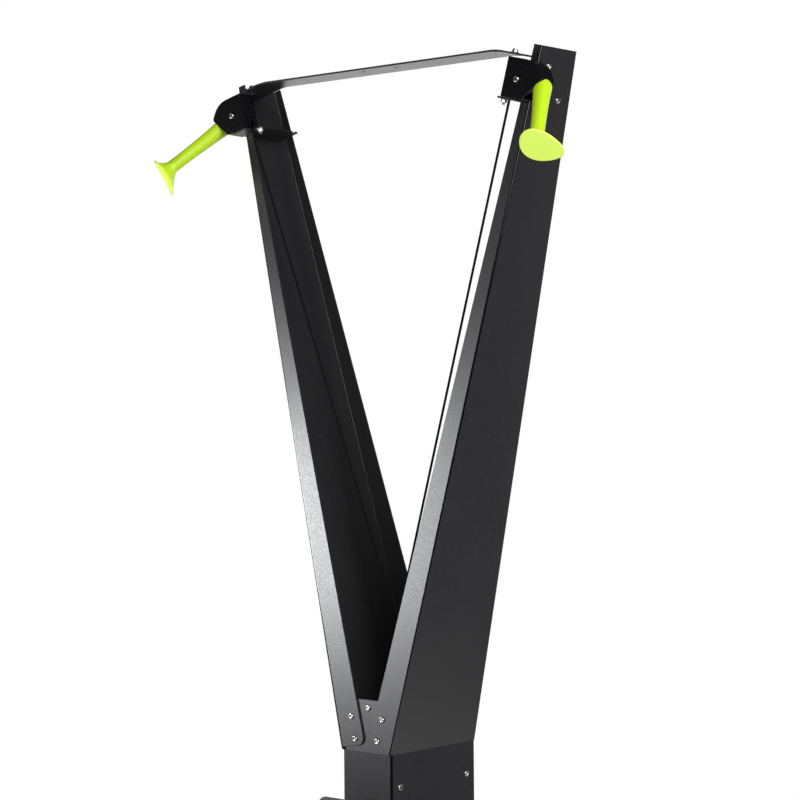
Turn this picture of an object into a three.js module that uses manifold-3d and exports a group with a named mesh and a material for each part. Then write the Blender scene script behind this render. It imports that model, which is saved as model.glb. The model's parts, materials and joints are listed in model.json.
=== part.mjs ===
// Ski trainer: a V-frame machine on a floor platform, with two pull handles and an air-braked flywheel.
// Millimetres, +Z up. The user stands on the -Y side, and +X is to the user's right.
// The origin is on the floor, in the middle of the platform.

import * as THREE from 'three';
import { mergeVertices } from 'three/addons/utils/BufferGeometryUtils.js';
import Module from 'manifold-3d';

const wasm = await Module();
wasm.setup();

// General sizes
const seatGap = 0.3; // between pieces that touch
const overrun = 2; // how far a cutting solid runs past the face that it cuts
const sheet = 3; // folded sheet of the frame
const screwRadius = 3; // shank of the frame screws
const screwHoleRadius = 3.3;

// Stance of the machine on its platform
const seamHeight = 1050; // floor to the joint between the column and the arms

// Arms: tapered channels that open towards each other
const armFootHalfWidth = 52; // web's outer face at the seam
const armFootDepth = 211;
const armRise = 1098;
const armTopHalfWidth = 328;
const armTopFrontY = 47.3; // front plane at the top, behind the front plane at the seam
const armTopDepth = 89.3;
const flangeMiddleGap = 0.4; // a front flange's foot to the machine's middle
const armTopFlange = 14.4;
const flangeFootRise = 4; // foot of a flange above the seam
const flangeFootSlope = 0.16; // its rise towards the middle
const flangeCornerRadius = 12;
const armTabLength = 85; // tongues that drop inside the column
const armTabWidth = 32;
const armTabInset = 9; // tongue's edge from the column's face
const armTabScrewDrop = 53;
const flangeScrewRows = [20, 55]; // above the seam
const flangeScrewX = [24, 33];
const tongueScrewRise = 71; // screw in the middle of the front tongue
const upperScrewInset = 20; // behind the front edge of the plate that it holds
const upperScrewDrop = 29; // below the arm's top
const lowerScrewInset = 9.3; // ahead of that plate's back edge
const lowerScrewDrop = 76.5;

// Top strap between the arms
const strapBendInset = 74; // bend to the arm's outer face
const strapOverhang = 19.3; // ahead of the arms' front plane at their tops
const strapWidth = 56;
const strapThickness = 3;
const flangeRoom = 2.7; // between a front flange and what is fixed behind it
const strapTabLength = 26;
const strapHoleX = 35;
const strapHoleSetback = 18;
const strapHoleRadius = 3.5;
const strapBoltInset = 44;
const strapBoltSetback = 9;

// Top pulleys and their boxes, in the arm's own leaning frame
const pulleyInset = 7.8; // pulley's axis to the arm's outer face
const boxHeadroom = 21.8; // box to the level of the arm's top
const pulleyPitch = 19; // radius of the cord's centre line
const rimHeight = 2.8; // rim above the cord's centre line
const pulleyWidth = 15;
const hubStand = 1; // hub's face beyond the rim's
const boreClearance = 0.4;
const cordRadius = 2;
const cordSides = 8;
const rimThickness = 1.1; // at the mouth of the groove
const boxHalfDepth = 16.2;
const boxSheet = 2;
const boxInnerRoom = 0.7; // rim to the side wall nearest the machine's middle
const boxBottomRoom = 5.2;
const boxTopRoom = 8.2;
const shoulderStand = 8; // beyond the rim
const shoulderRadius = 36;
const noseStand = 24.7; // beyond the rim
const noseRise = 7;
const noseRadius = 6;
const mouthFoot = 16; // pulley's axis to the mouth's lower corner
const mouthFootRadius = 6;
const cordSlotSide = 4; // beside the cord
const cordSlotClearance = 0.6; // cord to the inner wall where the slot begins
const boltRadius = 4;
const boltHeadRadius = 6.5;
const boltHeadHeight = 3.6;
const boltNutHeight = 3.2;
const lugRadius = 7;

// Shelf bracket inside each arm, which carries a pulley box
const shelfReach = 44; // pulley's axis to the shelf's inner edge
const shelfBackRoom = 13.6; // shelf's back edge to the back flange
const shelfThickness = 3;
const uprightTop = 36;
const shelfScrewReach = 36;
const shelfScrewSetback = 8.5; // behind the pulleys' middle plane
const shelfScrewMargin = 8; // to the shelf's front edge beside the box

// Handles, which rest in the boxes' mouths
const headRimGap = 3.4; // handle's head to the pulley's rim
const headDrop = 5.1;
const headRadius = 14.6;
const seatClearance = 0.5;
const handleLength = 131; // middle of the head to the palm disc
const waistRadius = 11;
const flareLength = 25;
const discHalfLength = 34;
const discHalfWidth = 27.5;
const discThickness = 3.6;
const discOffset = 9;
const discTaperShare = 0.28; // how much narrower the disc is at its pointed end
const discTiltDegrees = 12.5;
const flarePower = 2.2; // how late the flare opens
const knotRadius = 5;
const knotClearance = 0.7;
const cordHoleRadius = 2.9;
const restDirectionShares = { // each handle at rest, from its head: outwards, backwards, up
  right: [0.3617, -0.597, -0.722],
  left: [0.4954, -0.62, -0.617],
};
const wideShares = { right: [0.769, 0.623, -0.142], left: [-0.736, 0.093, -0.67] }; // palm disc's long axis

// Column: a folded box with an open back and a cover
const tongueSideGap = 2; // tongue's edge to the arms' webs
const tongueRise = 83;
const lipDepth = 9;
const footPlateHalfWidth = 105;
const footPlateFront = 70; // foot plate ahead of the column
const footPlateBack = 8;
const footPlateThickness = 8;
const footRibHeight = 120;
const footRibThickness = 6;
const footBoltRadius = 6.5;
const footBoltInset = 18;

// Guide pulleys behind the foot of the V
const guideWallGap = 2; // cord to the column's side
const guideRise = 85;
const nearPlaneY = 76; // plane of the cord that comes from the left arm
const guidePlateInset = 5; // plate's edge to the column's side
const guidePlateMargin = 12; // above the pins
const guidePlateDrop = 90; // below the seam
const guideEarDepth = 36;
const guidePinHeadRadius = 7;
const guidePinHeadHeight = 3;

// Flywheel, its shaft and what drives it
const fanY = 18; // shaft behind the arms' front plane
const fanTopGap = 10; // covers' top below the monitor's foot
const fanBackGap = 18.7; // blades to the back cover
const fanHubRadius = 27;
const fanDisc = 4;
const bladeInner = 72;
const bladeThickness = 2;
const bladeCount = 14;
const shaftRadius = 10;
const shaftClearance = 0.35;
const drumFanGap = 4;
const drumHalfWidth = 6.5;
const drumCore = 17;
const drumRim = 35;
const drumFlange = 1.5;
const drumPitch = 30; // outer layer of the wound cord
const caseDepth = 9.4;
const caseRadius = 39;
const caseWall = 1.6;
const springInner = 15;
const springRoom = 4.4; // spring to the case's wall
const springMargin = 1.2;
const bearingRadius = 21;
const bearingWidth = 12;
const hubWall = 10;
const hubDepth = 3.5; // hub inside the column's side
const hubFloor = 1.5;
const hubRim = 1; // hub beyond the bearing
const hubLip = 15.5;
const capThickness = 3;

// Fan covers, shroud and damper
const coverMargin = 22; // beyond the blades
const coverRimWidth = 8;
const coverRimHeight = 5;
const coverLap = 38; // cover's edge to the hole in the column's side
const ventHoleGap = 2;
const ventInnerGap = 10; // vents to the ring that the damper turns on
const ventCount = 16;
const ventShare = 0.5; // open share of the vent ring
const shroudGap = 3;
const shroudSheet = 2;
const shroudClearance = 0.3;
const damperGuide = 56; // radius of the ring that the damper turns on
const damperGuideHeight = 5;
const damperSheet = 2;
const damperLap = 7; // beyond the vents
const leverRimClearance = 1.2;
const leverStand = 24; // beyond the cover
const leverWidth = 16;
const leverKnobDepth = 16;
const leverKnobLength = 26;
const retainerOuter = 61;
const retainerInner = 50;
const retainerThickness = 2;

// Monitor
const monitorHalfWidth = 61;
const monitorHeight = 150;
const monitorFrontDepth = 16;
const monitorBackDepth = 13;
const monitorCorner = 14;
const monitorWall = 2.5;
const monitorTiltDegrees = 22;
const monitorHingeReach = 31; // ahead of the arms' front plane
const monitorHingeDrop = 150; // below the seam
const hingeToBack = 13; // hinge's axis behind the monitor's back face
const hingeToTop = 70;
const screenHalfWidth = 48;
const screenTopMargin = 16;
const screenButtonGap = 32; // window to the middle of the buttons
const screenThickness = 2;
const buttonRadius = 7;
const buttonPitch = 31;
const buttonMargin = 26;
const buttonStand = 2.2;
const buttonFlange = 1.6;
const buttonFlangeThickness = 1.5;
const buttonTravel = 1.5;
const hingePinRadius = 3.5;
const hingeKnobShare = 0.6; // of the ears' radius
const hingeEarHalfGap = 11;
const hingeEarThickness = 5;
const hingeEarRadius = 9;
const tongueClearance = 0.4;
const bracketHalfWidth = 26;
const bracketHeight = 74;
const bracketThickness = 4;

// Platform
const baseHalfLength = 480; // with the transport wheels
const baseHalfWidth = 300;
const wheelOverhang = 40; // the wheels stand this far behind the tray
const trayRearMargin = 4.3; // tray's rear edge to the column's foot plate
const trayHeight = 40;
const trayCorner = 26;
const footHeight = 18;
const footRadius = 22;
const footInset = 40;
const studRadius = 6;
const matInset = 22;
const matSetback = 102; // mat to the front of the arms' feet
const matThickness = 4;
const matRibPitch = 24;
const matRibWidth = 8;
const matRibHeight = 1.2;
const stiffenerHalfWidth = 190;
const stiffenerDepth = 90;
const stiffenerHeight = 30;
const wheelRadius = 30;
const wheelWidth = 22;
const wheelInset = 65; // wheel's middle to the side of the tray
const wheelFloorGap = 4;
const wheelClearance = 0.4;
const axleRadius = 6;
const wheelEar = 5;
const wheelEarGap = 1;

// Colours of the finishes
const charcoal = { color: 0x38383b, roughness: 0.45, metalness: 0.35 };
const gloss = { color: 0x121214, roughness: 0.3, metalness: 0.3 };
const plastic = { color: 0x1b1b1d, roughness: 0.6, metalness: 0 };
const rubber = { color: 0x19191a, roughness: 0.85, metalness: 0 };
const lime = { color: 0xb6e615, roughness: 0.45, metalness: 0 };
const steel = { color: 0xb9babd, roughness: 0.3, metalness: 0.9 };
const glass = { color: 0x2a3230, roughness: 0.12, metalness: 0 };
const nylon = { color: 0x2c2c2e, roughness: 0.5, metalness: 0 };
const cordBlack = { color: 0x0e0e10, roughness: 0.8, metalness: 0 };

const object = new THREE.Group();

// Solids

/** A closed geometry as a solid that can be joined and cut. */
function solid(geometry, matrix) {
  const bare = geometry.clone();
  for (const name of Object.keys(bare.attributes)) {
    if (name !== 'position') bare.deleteAttribute(name);
  }
  if (matrix) bare.applyMatrix4(matrix);
  const merged = mergeVertices(bare, 1e-4);
  const vertProperties = new Float32Array(merged.attributes.position.array);
  const triVerts = new Uint32Array(merged.index.array);
  return new wasm.Manifold(new wasm.Mesh({ numProp: 3, vertProperties, triVerts }));
}

/** A solid as a flat-shaded geometry. */
function geometryOf(shape) {
  const mesh = shape.getMesh();
  const geometry = new THREE.BufferGeometry();
  geometry.setAttribute('position', new THREE.BufferAttribute(mesh.vertProperties, 3));
  geometry.setIndex(new THREE.BufferAttribute(mesh.triVerts, 1));
  geometry.computeVertexNormals();
  return geometry;
}

/** Adds a named piece to a group. */
function piece(group, name, shape, finish) {
  const geometry = shape instanceof THREE.BufferGeometry ? shape : geometryOf(shape);
  const mesh = new THREE.Mesh(geometry, new THREE.MeshStandardMaterial(finish));
  mesh.name = name;
  group.add(mesh);
  return mesh;
}

function joined(shapes) {
  return shapes.reduce((whole, next) => whole.add(next));
}

/** A block between two corners. */
function block(x0, x1, y0, y1, z0, z1) {
  const geometry = new THREE.BoxGeometry(x1 - x0, y1 - y0, z1 - z0);
  geometry.translate((x0 + x1) / 2, (y0 + y1) / 2, (z0 + z1) / 2);
  return solid(geometry);
}

/** An outline of [a, b] points extruded along an axis: 'x' takes (y, z), 'y' takes (x, z), 'z' takes (x, y). */
function extruded(outline, axis, from, to, holes = []) {
  const shape = new THREE.Shape(outline.map(([a, b]) => new THREE.Vector2(a, b)));
  for (const hole of holes) {
    shape.holes.push(new THREE.Path(hole.map(([a, b]) => new THREE.Vector2(a, b))));
  }
  const geometry = new THREE.ExtrudeGeometry(shape, { depth: to - from, bevelEnabled: false });
  const turn = new THREE.Matrix4();
  if (axis === 'x') turn.set(0, 0, 1, from, 1, 0, 0, 0, 0, 1, 0, 0, 0, 0, 0, 1);
  if (axis === 'y') turn.set(1, 0, 0, 0, 0, 0, -1, to, 0, 1, 0, 0, 0, 0, 0, 1);
  if (axis === 'z') turn.set(1, 0, 0, 0, 0, 1, 0, 0, 0, 0, 1, from, 0, 0, 0, 1);
  return solid(geometry, turn);
}

/** A profile of [radius, distance] points turned about an axis through a centre. */
function turned(profile, axis, centre = [0, 0, 0], sides = 24) {
  const points = profile.map(([radius, distance]) => new THREE.Vector2(radius, distance));
  const geometry = new THREE.LatheGeometry(points, sides);
  if (axis === 'x') geometry.rotateZ(-Math.PI / 2);
  if (axis === 'z') geometry.rotateX(Math.PI / 2);
  geometry.translate(...centre);
  const shape = solid(geometry);
  return shape.volume() < 0 ? solid(flipped(geometry)) : shape;
}

/** The same geometry with its faces turned over. */
function flipped(geometry) {
  const copy = geometry.clone();
  const index = copy.index.array;
  for (let i = 0; i < index.length; i += 3) {
    [index[i], index[i + 1]] = [index[i + 1], index[i]];
  }
  return copy;
}

/** A round bar along an axis, from one distance to another. */
function bar(radius, axis, from, to, centre = [0, 0, 0], sides = 20) {
  return turned([[0, from], [radius, from], [radius, to], [0, to]], axis, centre, sides);
}

/** A tube along an axis. */
function tube(outer, inner, axis, from, to, centre = [0, 0, 0], sides = 24) {
  const profile = [[inner, from], [outer, from], [outer, to], [inner, to], [inner, from]];
  return turned(profile, axis, centre, sides);
}

/** The solid between two rings of as many points, with flat ends. */
function between(ringA, ringB) {
  const count = ringA.length;
  const origin = new THREE.Vector3(...ringA[0]);
  const across = new THREE.Vector3(...ringA[1]).sub(origin).normalize();
  const normal = newell(ringA);
  const up = new THREE.Vector3().crossVectors(normal, across);
  const flat = ringA.map((point) => {
    const offset = new THREE.Vector3(...point).sub(origin);
    return new THREE.Vector2(offset.dot(across), offset.dot(up));
  });
  const faces = THREE.ShapeUtils.triangulateShape(flat, []);
  const index = [];
  for (const [a, b, c] of faces) {
    index.push(a, b, c, count + c, count + b, count + a);
  }
  for (let i = 0; i < count; i += 1) {
    const next = (i + 1) % count;
    index.push(next, i, count + i, next, count + i, count + next);
  }
  const geometry = new THREE.BufferGeometry();
  const positions = new Float32Array([...ringA, ...ringB].flat());
  geometry.setAttribute('position', new THREE.BufferAttribute(positions, 3));
  geometry.setIndex(index);
  const shape = solid(geometry);
  return shape.volume() < 0 ? solid(flipped(geometry)) : shape;
}

/** The unit normal of a ring of points. */
function newell(ring) {
  const normal = new THREE.Vector3();
  ring.forEach((point, i) => {
    const next = ring[(i + 1) % ring.length];
    normal.x += (point[1] - next[1]) * (point[2] + next[2]);
    normal.y += (point[2] - next[2]) * (point[0] + next[0]);
    normal.z += (point[0] - next[0]) * (point[1] + next[1]);
  });
  return normal.normalize();
}

/** A corner of an outline as an arc of that radius, with as many steps. */
function rounded(before, corner, after, radius, steps = 4) {
  const c = new THREE.Vector2(...corner);
  const a = new THREE.Vector2(...before).sub(c).normalize();
  const b = new THREE.Vector2(...after).sub(c).normalize();
  const half = Math.acos(a.dot(b)) / 2;
  const reach = radius / Math.tan(half);
  const middle = a.clone().add(b).normalize().multiplyScalar(radius / Math.sin(half)).add(c);
  const start = a.clone().multiplyScalar(reach).add(c).sub(middle);
  const end = b.clone().multiplyScalar(reach).add(c).sub(middle);
  const turn = Math.atan2(start.x * end.y - start.y * end.x, start.dot(end));
  return Array.from({ length: steps + 1 }, (_, i) => {
    const point = start.clone().rotateAround(new THREE.Vector2(), (turn * i) / steps).add(middle);
    return [point.x, point.y];
  });
}

/** A rectangle with round corners, as an outline. */
function roundRectangle(a0, a1, b0, b1, radius, steps = 4) {
  const corners = [[a0, b0], [a1, b0], [a1, b1], [a0, b1]];
  return corners.flatMap((corner, i) => rounded(corners[(i + 3) % 4], corner, corners[(i + 1) % 4], radius, steps));
}

/** An outline with each side moved in by its own distance. */
function inset(outline, distances) {
  const count = outline.length;
  const lines = outline.map(([a, b], i) => {
    const [c, d] = outline[(i + 1) % count];
    const length = Math.hypot(c - a, d - b);
    const normal = [-(d - b) / length, (c - a) / length];
    return { normal, reach: normal[0] * a + normal[1] * b + distances[i] };
  });
  return lines.map((line, i) => {
    const last = lines[(i + count - 1) % count];
    const det = last.normal[0] * line.normal[1] - last.normal[1] * line.normal[0];
    const a = (last.reach * line.normal[1] - line.reach * last.normal[1]) / det;
    const b = (last.normal[0] * line.reach - line.normal[0] * last.reach) / det;
    return [a, b];
  });
}

function mix(from, to, share) {
  return from + (to - from) * share;
}

/** A group placed at a point, inside another. */
function placed(parent, x, y, z) {
  const group = new THREE.Group();
  group.position.set(x, y, z);
  parent.add(group);
  return group;
}

/** A group whose contents are mirrored to the machine's left. */
function mirrored(parent) {
  const group = new THREE.Group();
  group.scale.x = -1;
  parent.add(group);
  return group;
}

const trayBack = baseHalfLength - wheelOverhang;
const columnHalfWidth = armFootHalfWidth;
const columnInset = sheet + seatGap;
const columnBackY = armFootDepth - sheet - seatGap;
const frontPlaneY = trayBack - trayRearMargin - footPlateBack - columnBackY;
const matBack = frontPlaneY - matSetback;
const wheelX = baseHalfWidth - wheelInset;
const armFootFlange = armFootHalfWidth - flangeMiddleGap;
const tongueHalfWidth = armFootHalfWidth - sheet - tongueSideGap;
const pulleyRim = pulleyPitch + rimHeight;
const boxTop = pulleyRim + boxTopRoom + boxSheet;
const pulleyRise = armRise - boxHeadroom - boxTop;
const pulleyY = (armTopFrontY * pulleyRise) / armRise - boxHalfDepth - 2 * seatGap;
const uprightFrontY = armTopFrontY + sheet + flangeRoom;
const shelfBackY = armTopFrontY + armTopDepth - sheet - shelfBackRoom;
const shelfScrewY = pulleyY + shelfScrewSetback;
const upperScrewRise = armRise - upperScrewDrop;
const lowerScrewRise = armRise - lowerScrewDrop;
const upperScrewY = uprightFrontY + upperScrewInset;
const lowerScrewY = shelfBackY - lowerScrewInset;
const strapFrontY = armTopFrontY - strapOverhang;
const strapTabFrontY = uprightFrontY;
const strapHoleY = strapFrontY + strapHoleSetback;
const strapBoltY = strapFrontY + strapBoltSetback;
const strapBendX = armTopHalfWidth - strapBendInset;
const strapBoltX = armTopHalfWidth - strapBoltInset;

const pulleyHubWidth = pulleyWidth + 2 * hubStand;
const pulleyBore = boltRadius + boreClearance;
const boxInner = pulleyRim + boxInnerRoom + boxSheet;
const boxBottom = pulleyRim + boxBottomRoom + boxSheet;
const cordSlotHalfWidth = cordRadius + cordSlotSide;
const shoulderReach = pulleyRim + shoulderStand;
const noseReach = pulleyRim + noseStand;
const headReach = pulleyRim + headRadius + headRimGap;
const knotPocketRadius = knotRadius + knotClearance;

const guideX = columnHalfWidth - sheet - guideWallGap - cordRadius - pulleyPitch;
const farPlaneY = nearPlaneY + pulleyHubWidth + 2 * seatGap;
const guidePlateY = farPlaneY + pulleyHubWidth / 2 + 2 * seatGap;
const guidePlateHalfWidth = columnHalfWidth - sheet - guidePlateInset;

const hubInnerX = columnHalfWidth - hubDepth;
const bearingInnerX = hubInnerX + hubFloor;
const shaftHalfLength = bearingInnerX + bearingWidth;
const hubOuterX = shaftHalfLength + hubRim;
const hubRadius = bearingRadius + hubWall;
const caseOuterX = hubInnerX - seatGap;
const caseInnerX = caseOuterX - caseDepth;
const springOuter = caseRadius - caseWall - springRoom;
const drumX = caseInnerX - seatGap - drumFlange - drumHalfWidth;
const fanHalfWidth = drumX - drumHalfWidth - drumFanGap;
const fanRadius = columnBackY - sheet - fanY - fanBackGap;
const coverRadius = fanRadius + coverMargin;
const columnHoleRadius = coverRadius - coverLap;
const ventOuter = columnHoleRadius - ventHoleGap;
const ventInner = damperGuide + ventInnerGap;
const damperOuter = ventOuter + damperLap;
const leverReach = coverRadius + leverStand;
const fanDrop = monitorHingeDrop + monitorHeight - hingeToTop + fanTopGap + coverRadius;
const wheelBore = axleRadius + wheelClearance;

// Frame of the V: x from the middle, y from the arms' front plane, z from the seam
const upper = placed(object, 0, frontPlaneY, seamHeight);
const leftUpper = mirrored(upper);
const sides = [
  { name: 'right', group: upper, sign: 1 },
  { name: 'left', group: leftUpper, sign: -1 },
];

const leanSlope = (armTopHalfWidth - armFootHalfWidth) / armRise;
const lean = Math.atan(leanSlope);
const webX = (z) => armFootHalfWidth + leanSlope * z;
const webThickness = sheet / Math.cos(lean);
const frontY = (z) => (armTopFrontY * z) / armRise;
const backY = (z) => mix(armFootDepth, armTopFrontY + armTopDepth, z / armRise);
const flangeWidth = (z) => mix(armFootFlange, armTopFlange, z / armRise);
const flangeEdgeX = (z) => webX(z) - flangeWidth(z);
const pulleyX = webX(pulleyRise) - pulleyInset;

/** Outline of an arm's flange, as [x, z] points. */
function flangeOutline() {
  const edgeSlope = (flangeEdgeX(armRise) - flangeEdgeX(0)) / armRise;
  const footX = webX(flangeFootRise);
  const width = (footX - flangeEdgeX(flangeFootRise)) / (1 + edgeSlope * flangeFootSlope);
  const corner = [footX - width, flangeFootRise + width * flangeFootSlope];
  const top = [webX(armRise) - armTopFlange, armRise + armTopFlange * leanSlope];
  const foot = [footX, flangeFootRise];
  return [foot, [webX(armRise), armRise], top, ...rounded(top, corner, foot, flangeCornerRadius)];
}

/** A sheet that follows the arms' front or back plane, from an [x, z] outline. */
function leaningSheet(outline, planeY, thickness) {
  const near = outline.map(([x, z]) => [x, planeY(z), z]);
  const far = outline.map(([x, z]) => [x, planeY(z) + thickness, z]);
  return between(near, far);
}

/** One arm: web, two flanges and two tongues that drop into the column. */
function armSolid() {
  const webRing = (shift) => [
    [webX(0) - shift, frontY(0), 0],
    [webX(0) - shift, backY(0), 0],
    [webX(armRise) - shift, backY(armRise), armRise],
    [webX(armRise) - shift, frontY(armRise), armRise],
  ];
  const web = between(webRing(0), webRing(webThickness));
  const front = leaningSheet(flangeOutline(), frontY, sheet);
  const back = leaningSheet(flangeOutline(), backY, -sheet);
  const tabOuter = columnHalfWidth - sheet - seatGap;
  const tabProfile = [
    [tabOuter, -armTabLength],
    [tabOuter, 0],
    [webX(0) - webThickness / 2, 0],
    [webX(sheet) - webThickness / 2, sheet],
    [tabOuter - sheet, sheet],
    [tabOuter - sheet, -armTabLength],
  ];
  const tabFront = columnInset + sheet + armTabInset;
  const tabBack = columnBackY - sheet - armTabInset;
  const tabs = [tabFront, tabBack - armTabWidth].map((y) => extruded(tabProfile, 'y', y, y + armTabWidth));
  const through = (y, z) => bar(screwHoleRadius, 'x', 0, webX(z) + overrun, [0, y, z], 12);
  const across = (x, z) => bar(screwHoleRadius, 'y', -overrun, armFootDepth + overrun, [x, 0, z], 12);
  const holes = [
    through(upperScrewY, upperScrewRise),
    through(lowerScrewY, lowerScrewRise),
    through(tabFront + armTabWidth / 4, -armTabScrewDrop),
    through(tabBack - armTabWidth / 4, -armTabScrewDrop),
    across(flangeScrewX[0], flangeScrewRows[0]),
    across(flangeScrewX[1], flangeScrewRows[1]),
  ];
  return joined([web, front, back, ...tabs]).subtract(joined(holes));
}

const arm = armSolid();
for (const side of sides) {
  piece(side.group, `${side.name}_arm`, arm, charcoal);
}

/** The strap that ties the arms' tops: its ends bend down, square to the arms. */
function strapSolid() {
  const reach = webX(armRise) - 2 * webThickness - 3 * seatGap - strapBendX;
  const length = reach * Math.cos(lean);
  const end = [strapBendX + length * Math.cos(lean), armRise - length * Math.sin(lean)];
  const under = [end[0] - strapThickness * Math.sin(lean), end[1] - strapThickness * Math.cos(lean)];
  const bendUnder = [strapBendX - strapThickness * Math.tan(lean / 2), armRise - strapThickness];
  const half = [[strapBendX, armRise], end, under, bendUnder];
  const otherHalf = half.map(([x, z]) => [-x, z]).reverse();
  const outline = [...half, ...otherHalf];
  const strap = extruded(outline, 'y', strapFrontY, strapFrontY + strapWidth);
  const cuts = [-1, 1].map((sign) => {
    const inner = sign * (end[0] - strapTabLength);
    const outer = sign * (end[0] + overrun);
    const low = Math.min(inner, outer);
    const high = Math.max(inner, outer);
    return block(low, high, strapFrontY - overrun, strapTabFrontY, end[1] - strapTabLength, armRise);
  });
  const drill = (x, y, radius) => bar(radius, 'z', armRise - strapTabLength, armRise + overrun, [x, y, 0], 12);
  for (const sign of [-1, 1]) {
    cuts.push(drill(sign * strapHoleX, strapHoleY, strapHoleRadius));
    cuts.push(drill(sign * strapBoltX, strapBoltY, screwHoleRadius));
  }
  return strap.subtract(joined(cuts));
}
piece(upper, 'top_strap', strapSolid(), charcoal);

// Pulley boxes: local x outwards, y backwards, z up along the arm, from the middle of the pulley

const armAxis = new THREE.Vector3(webX(armRise) - webX(0), armTopFrontY, armRise).normalize();
const planeLean = Math.atan(armTopFrontY / armRise);
const planeNormal = new THREE.Vector3(0, Math.cos(planeLean), -Math.sin(planeLean));
const outwards = new THREE.Vector3().crossVectors(planeNormal, armAxis);
const boxMatrix = new THREE.Matrix4().makeBasis(outwards, planeNormal, armAxis);
boxMatrix.setPosition(pulleyX, pulleyY, pulleyRise);
const toBox = boxMatrix.clone().invert();

/** A group that leans with the arm, at the top pulley. */
function boxGroup(parent) {
  const group = new THREE.Group();
  group.applyMatrix4(boxMatrix);
  parent.add(group);
  return group;
}

const armFaceDepth = new THREE.Vector3(pulleyX, frontY(pulleyRise), pulleyRise).applyMatrix4(toBox).y;
const boxBack = Math.min(boxHalfDepth, armFaceDepth - seatGap);

const boxArcSteps = 4;

/** Outline of a pulley box. Its mouth is the straight side after the lower corner's arc. */
function boxOutline() {
  const heel = [-boxInner, -boxBottom];
  const foot = [mouthFoot, -boxBottom];
  const nose = [noseReach, noseRise];
  const shoulder = [shoulderReach, boxTop];
  const back = [-boxInner, boxTop];
  return [
    heel,
    ...rounded(heel, foot, nose, mouthFootRadius, boxArcSteps),
    ...rounded(foot, nose, shoulder, noseRadius, boxArcSteps),
    ...rounded(nose, shoulder, back, shoulderRadius, boxArcSteps),
    back,
  ];
}

const headCentre = new THREE.Vector3(headReach, 0, -headDrop);

/** A ball for cutting a seat round a handle's head. */
function ball(radius, centre, columns = 32, rows = 16) {
  const geometry = new THREE.SphereGeometry(radius, columns, rows);
  geometry.translate(centre.x, centre.y, centre.z);
  return solid(geometry);
}

/** The direction of a side's grip at rest, from its head to its palm disc, before the left side is mirrored. */
function restDirection(name) {
  return new THREE.Vector3(...restDirectionShares[name]).normalize();
}

/** What a handle's head, the start of its grip and its cord take out of the box. */
function headSeat(name) {
  const reach = headRadius + boxSheet + 2 * cordRadius;
  const channel = new THREE.CylinderGeometry(cordRadius + seatGap, cordRadius + seatGap, reach, 12);
  channel.translate(0, -reach / 2, 0);
  const seatRadius = headRadius + seatClearance;
  const grip = new THREE.CylinderGeometry(seatRadius, seatRadius, 2 * headRadius, 32);
  grip.translate(0, headRadius, 0);
  const restLocal = restDirection(name).transformDirection(toBox);
  const turn = new THREE.Quaternion().setFromUnitVectors(new THREE.Vector3(0, 1, 0), restLocal);
  const matrix = new THREE.Matrix4().compose(headCentre, turn, new THREE.Vector3(1, 1, 1));
  return [ball(seatRadius, headCentre), solid(channel, matrix), solid(grip, matrix)];
}

const guideLocal = new THREE.Vector3(-guideX, (nearPlaneY + farPlaneY) / 2, guideRise).applyMatrix4(toBox);
const runSlope = guideLocal.x / guideLocal.z;
/** Where the cord's centre passes a level below the pulley, in the box's own frame. */
const cordX = (z) => runSlope * z - pulleyPitch * Math.hypot(1, runSlope);
const cordY = (z) => (guideLocal.y * z) / guideLocal.z;

/** The level at which the cord comes clear of the box's inner wall, on its way down. */
const slotTop = (cordRadius + cordSlotClearance + boxSheet - boxInner + pulleyPitch * Math.hypot(1, runSlope)) / runSlope;

/** The box round a top pulley: a back wall and a rim that is open at the mouth. */
function pulleyBoxSolid(name) {
  const outline = boxOutline();
  const cavity = inset(outline, outline.map(() => boxSheet));
  const [foot, low] = cavity.slice(boxArcSteps + 1);
  const push = [noseRise + boxBottom, mouthFoot - noseReach];
  const mouth = [foot, [foot[0] + push[0], foot[1] + push[1]], [low[0] + push[0], low[1] + push[1]], low];
  const cheekFace = -boxHalfDepth + boxSheet + seatGap;
  const body = extruded(outline, 'y', cheekFace, boxBack);
  const hollow = joined([cavity, mouth].map((part) => extruded(
    part, 'y', cheekFace - overrun, boxBack - boxSheet,
  )));
  const slot = block(
    -boxInner - overrun, cordX(-boxBottom) + cordSlotHalfWidth,
    -cordSlotHalfWidth, cordSlotHalfWidth,
    -boxBottom - overrun, Math.max(slotTop, -boxBottom + boxSheet + seatGap),
  );
  const bolt = bar(boltRadius + seatGap, 'y', 0, boxBack + overrun, [0, 0, 0], 16);
  const strapHole = new THREE.Vector3(strapBoltX, strapBoltY, armRise).applyMatrix4(toBox);
  const topHole = bar(screwHoleRadius, 'z', 0, boxTop + overrun, [strapHole.x, strapHole.y, 0], 12);
  const cuts = [hollow, slot, bolt, topHole, ...headSeat(name)];
  return body.subtract(joined(cuts));
}

/** The front cheek that closes a pulley box. */
function cheekSolid(name) {
  const plate = extruded(boxOutline(), 'y', -boxHalfDepth, -boxHalfDepth + boxSheet);
  const bolt = bar(boltRadius + seatGap, 'y', -boxHalfDepth - overrun, 0, [0, 0, 0], 16);
  return plate.subtract(joined([bolt, ...headSeat(name)]));
}

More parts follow.
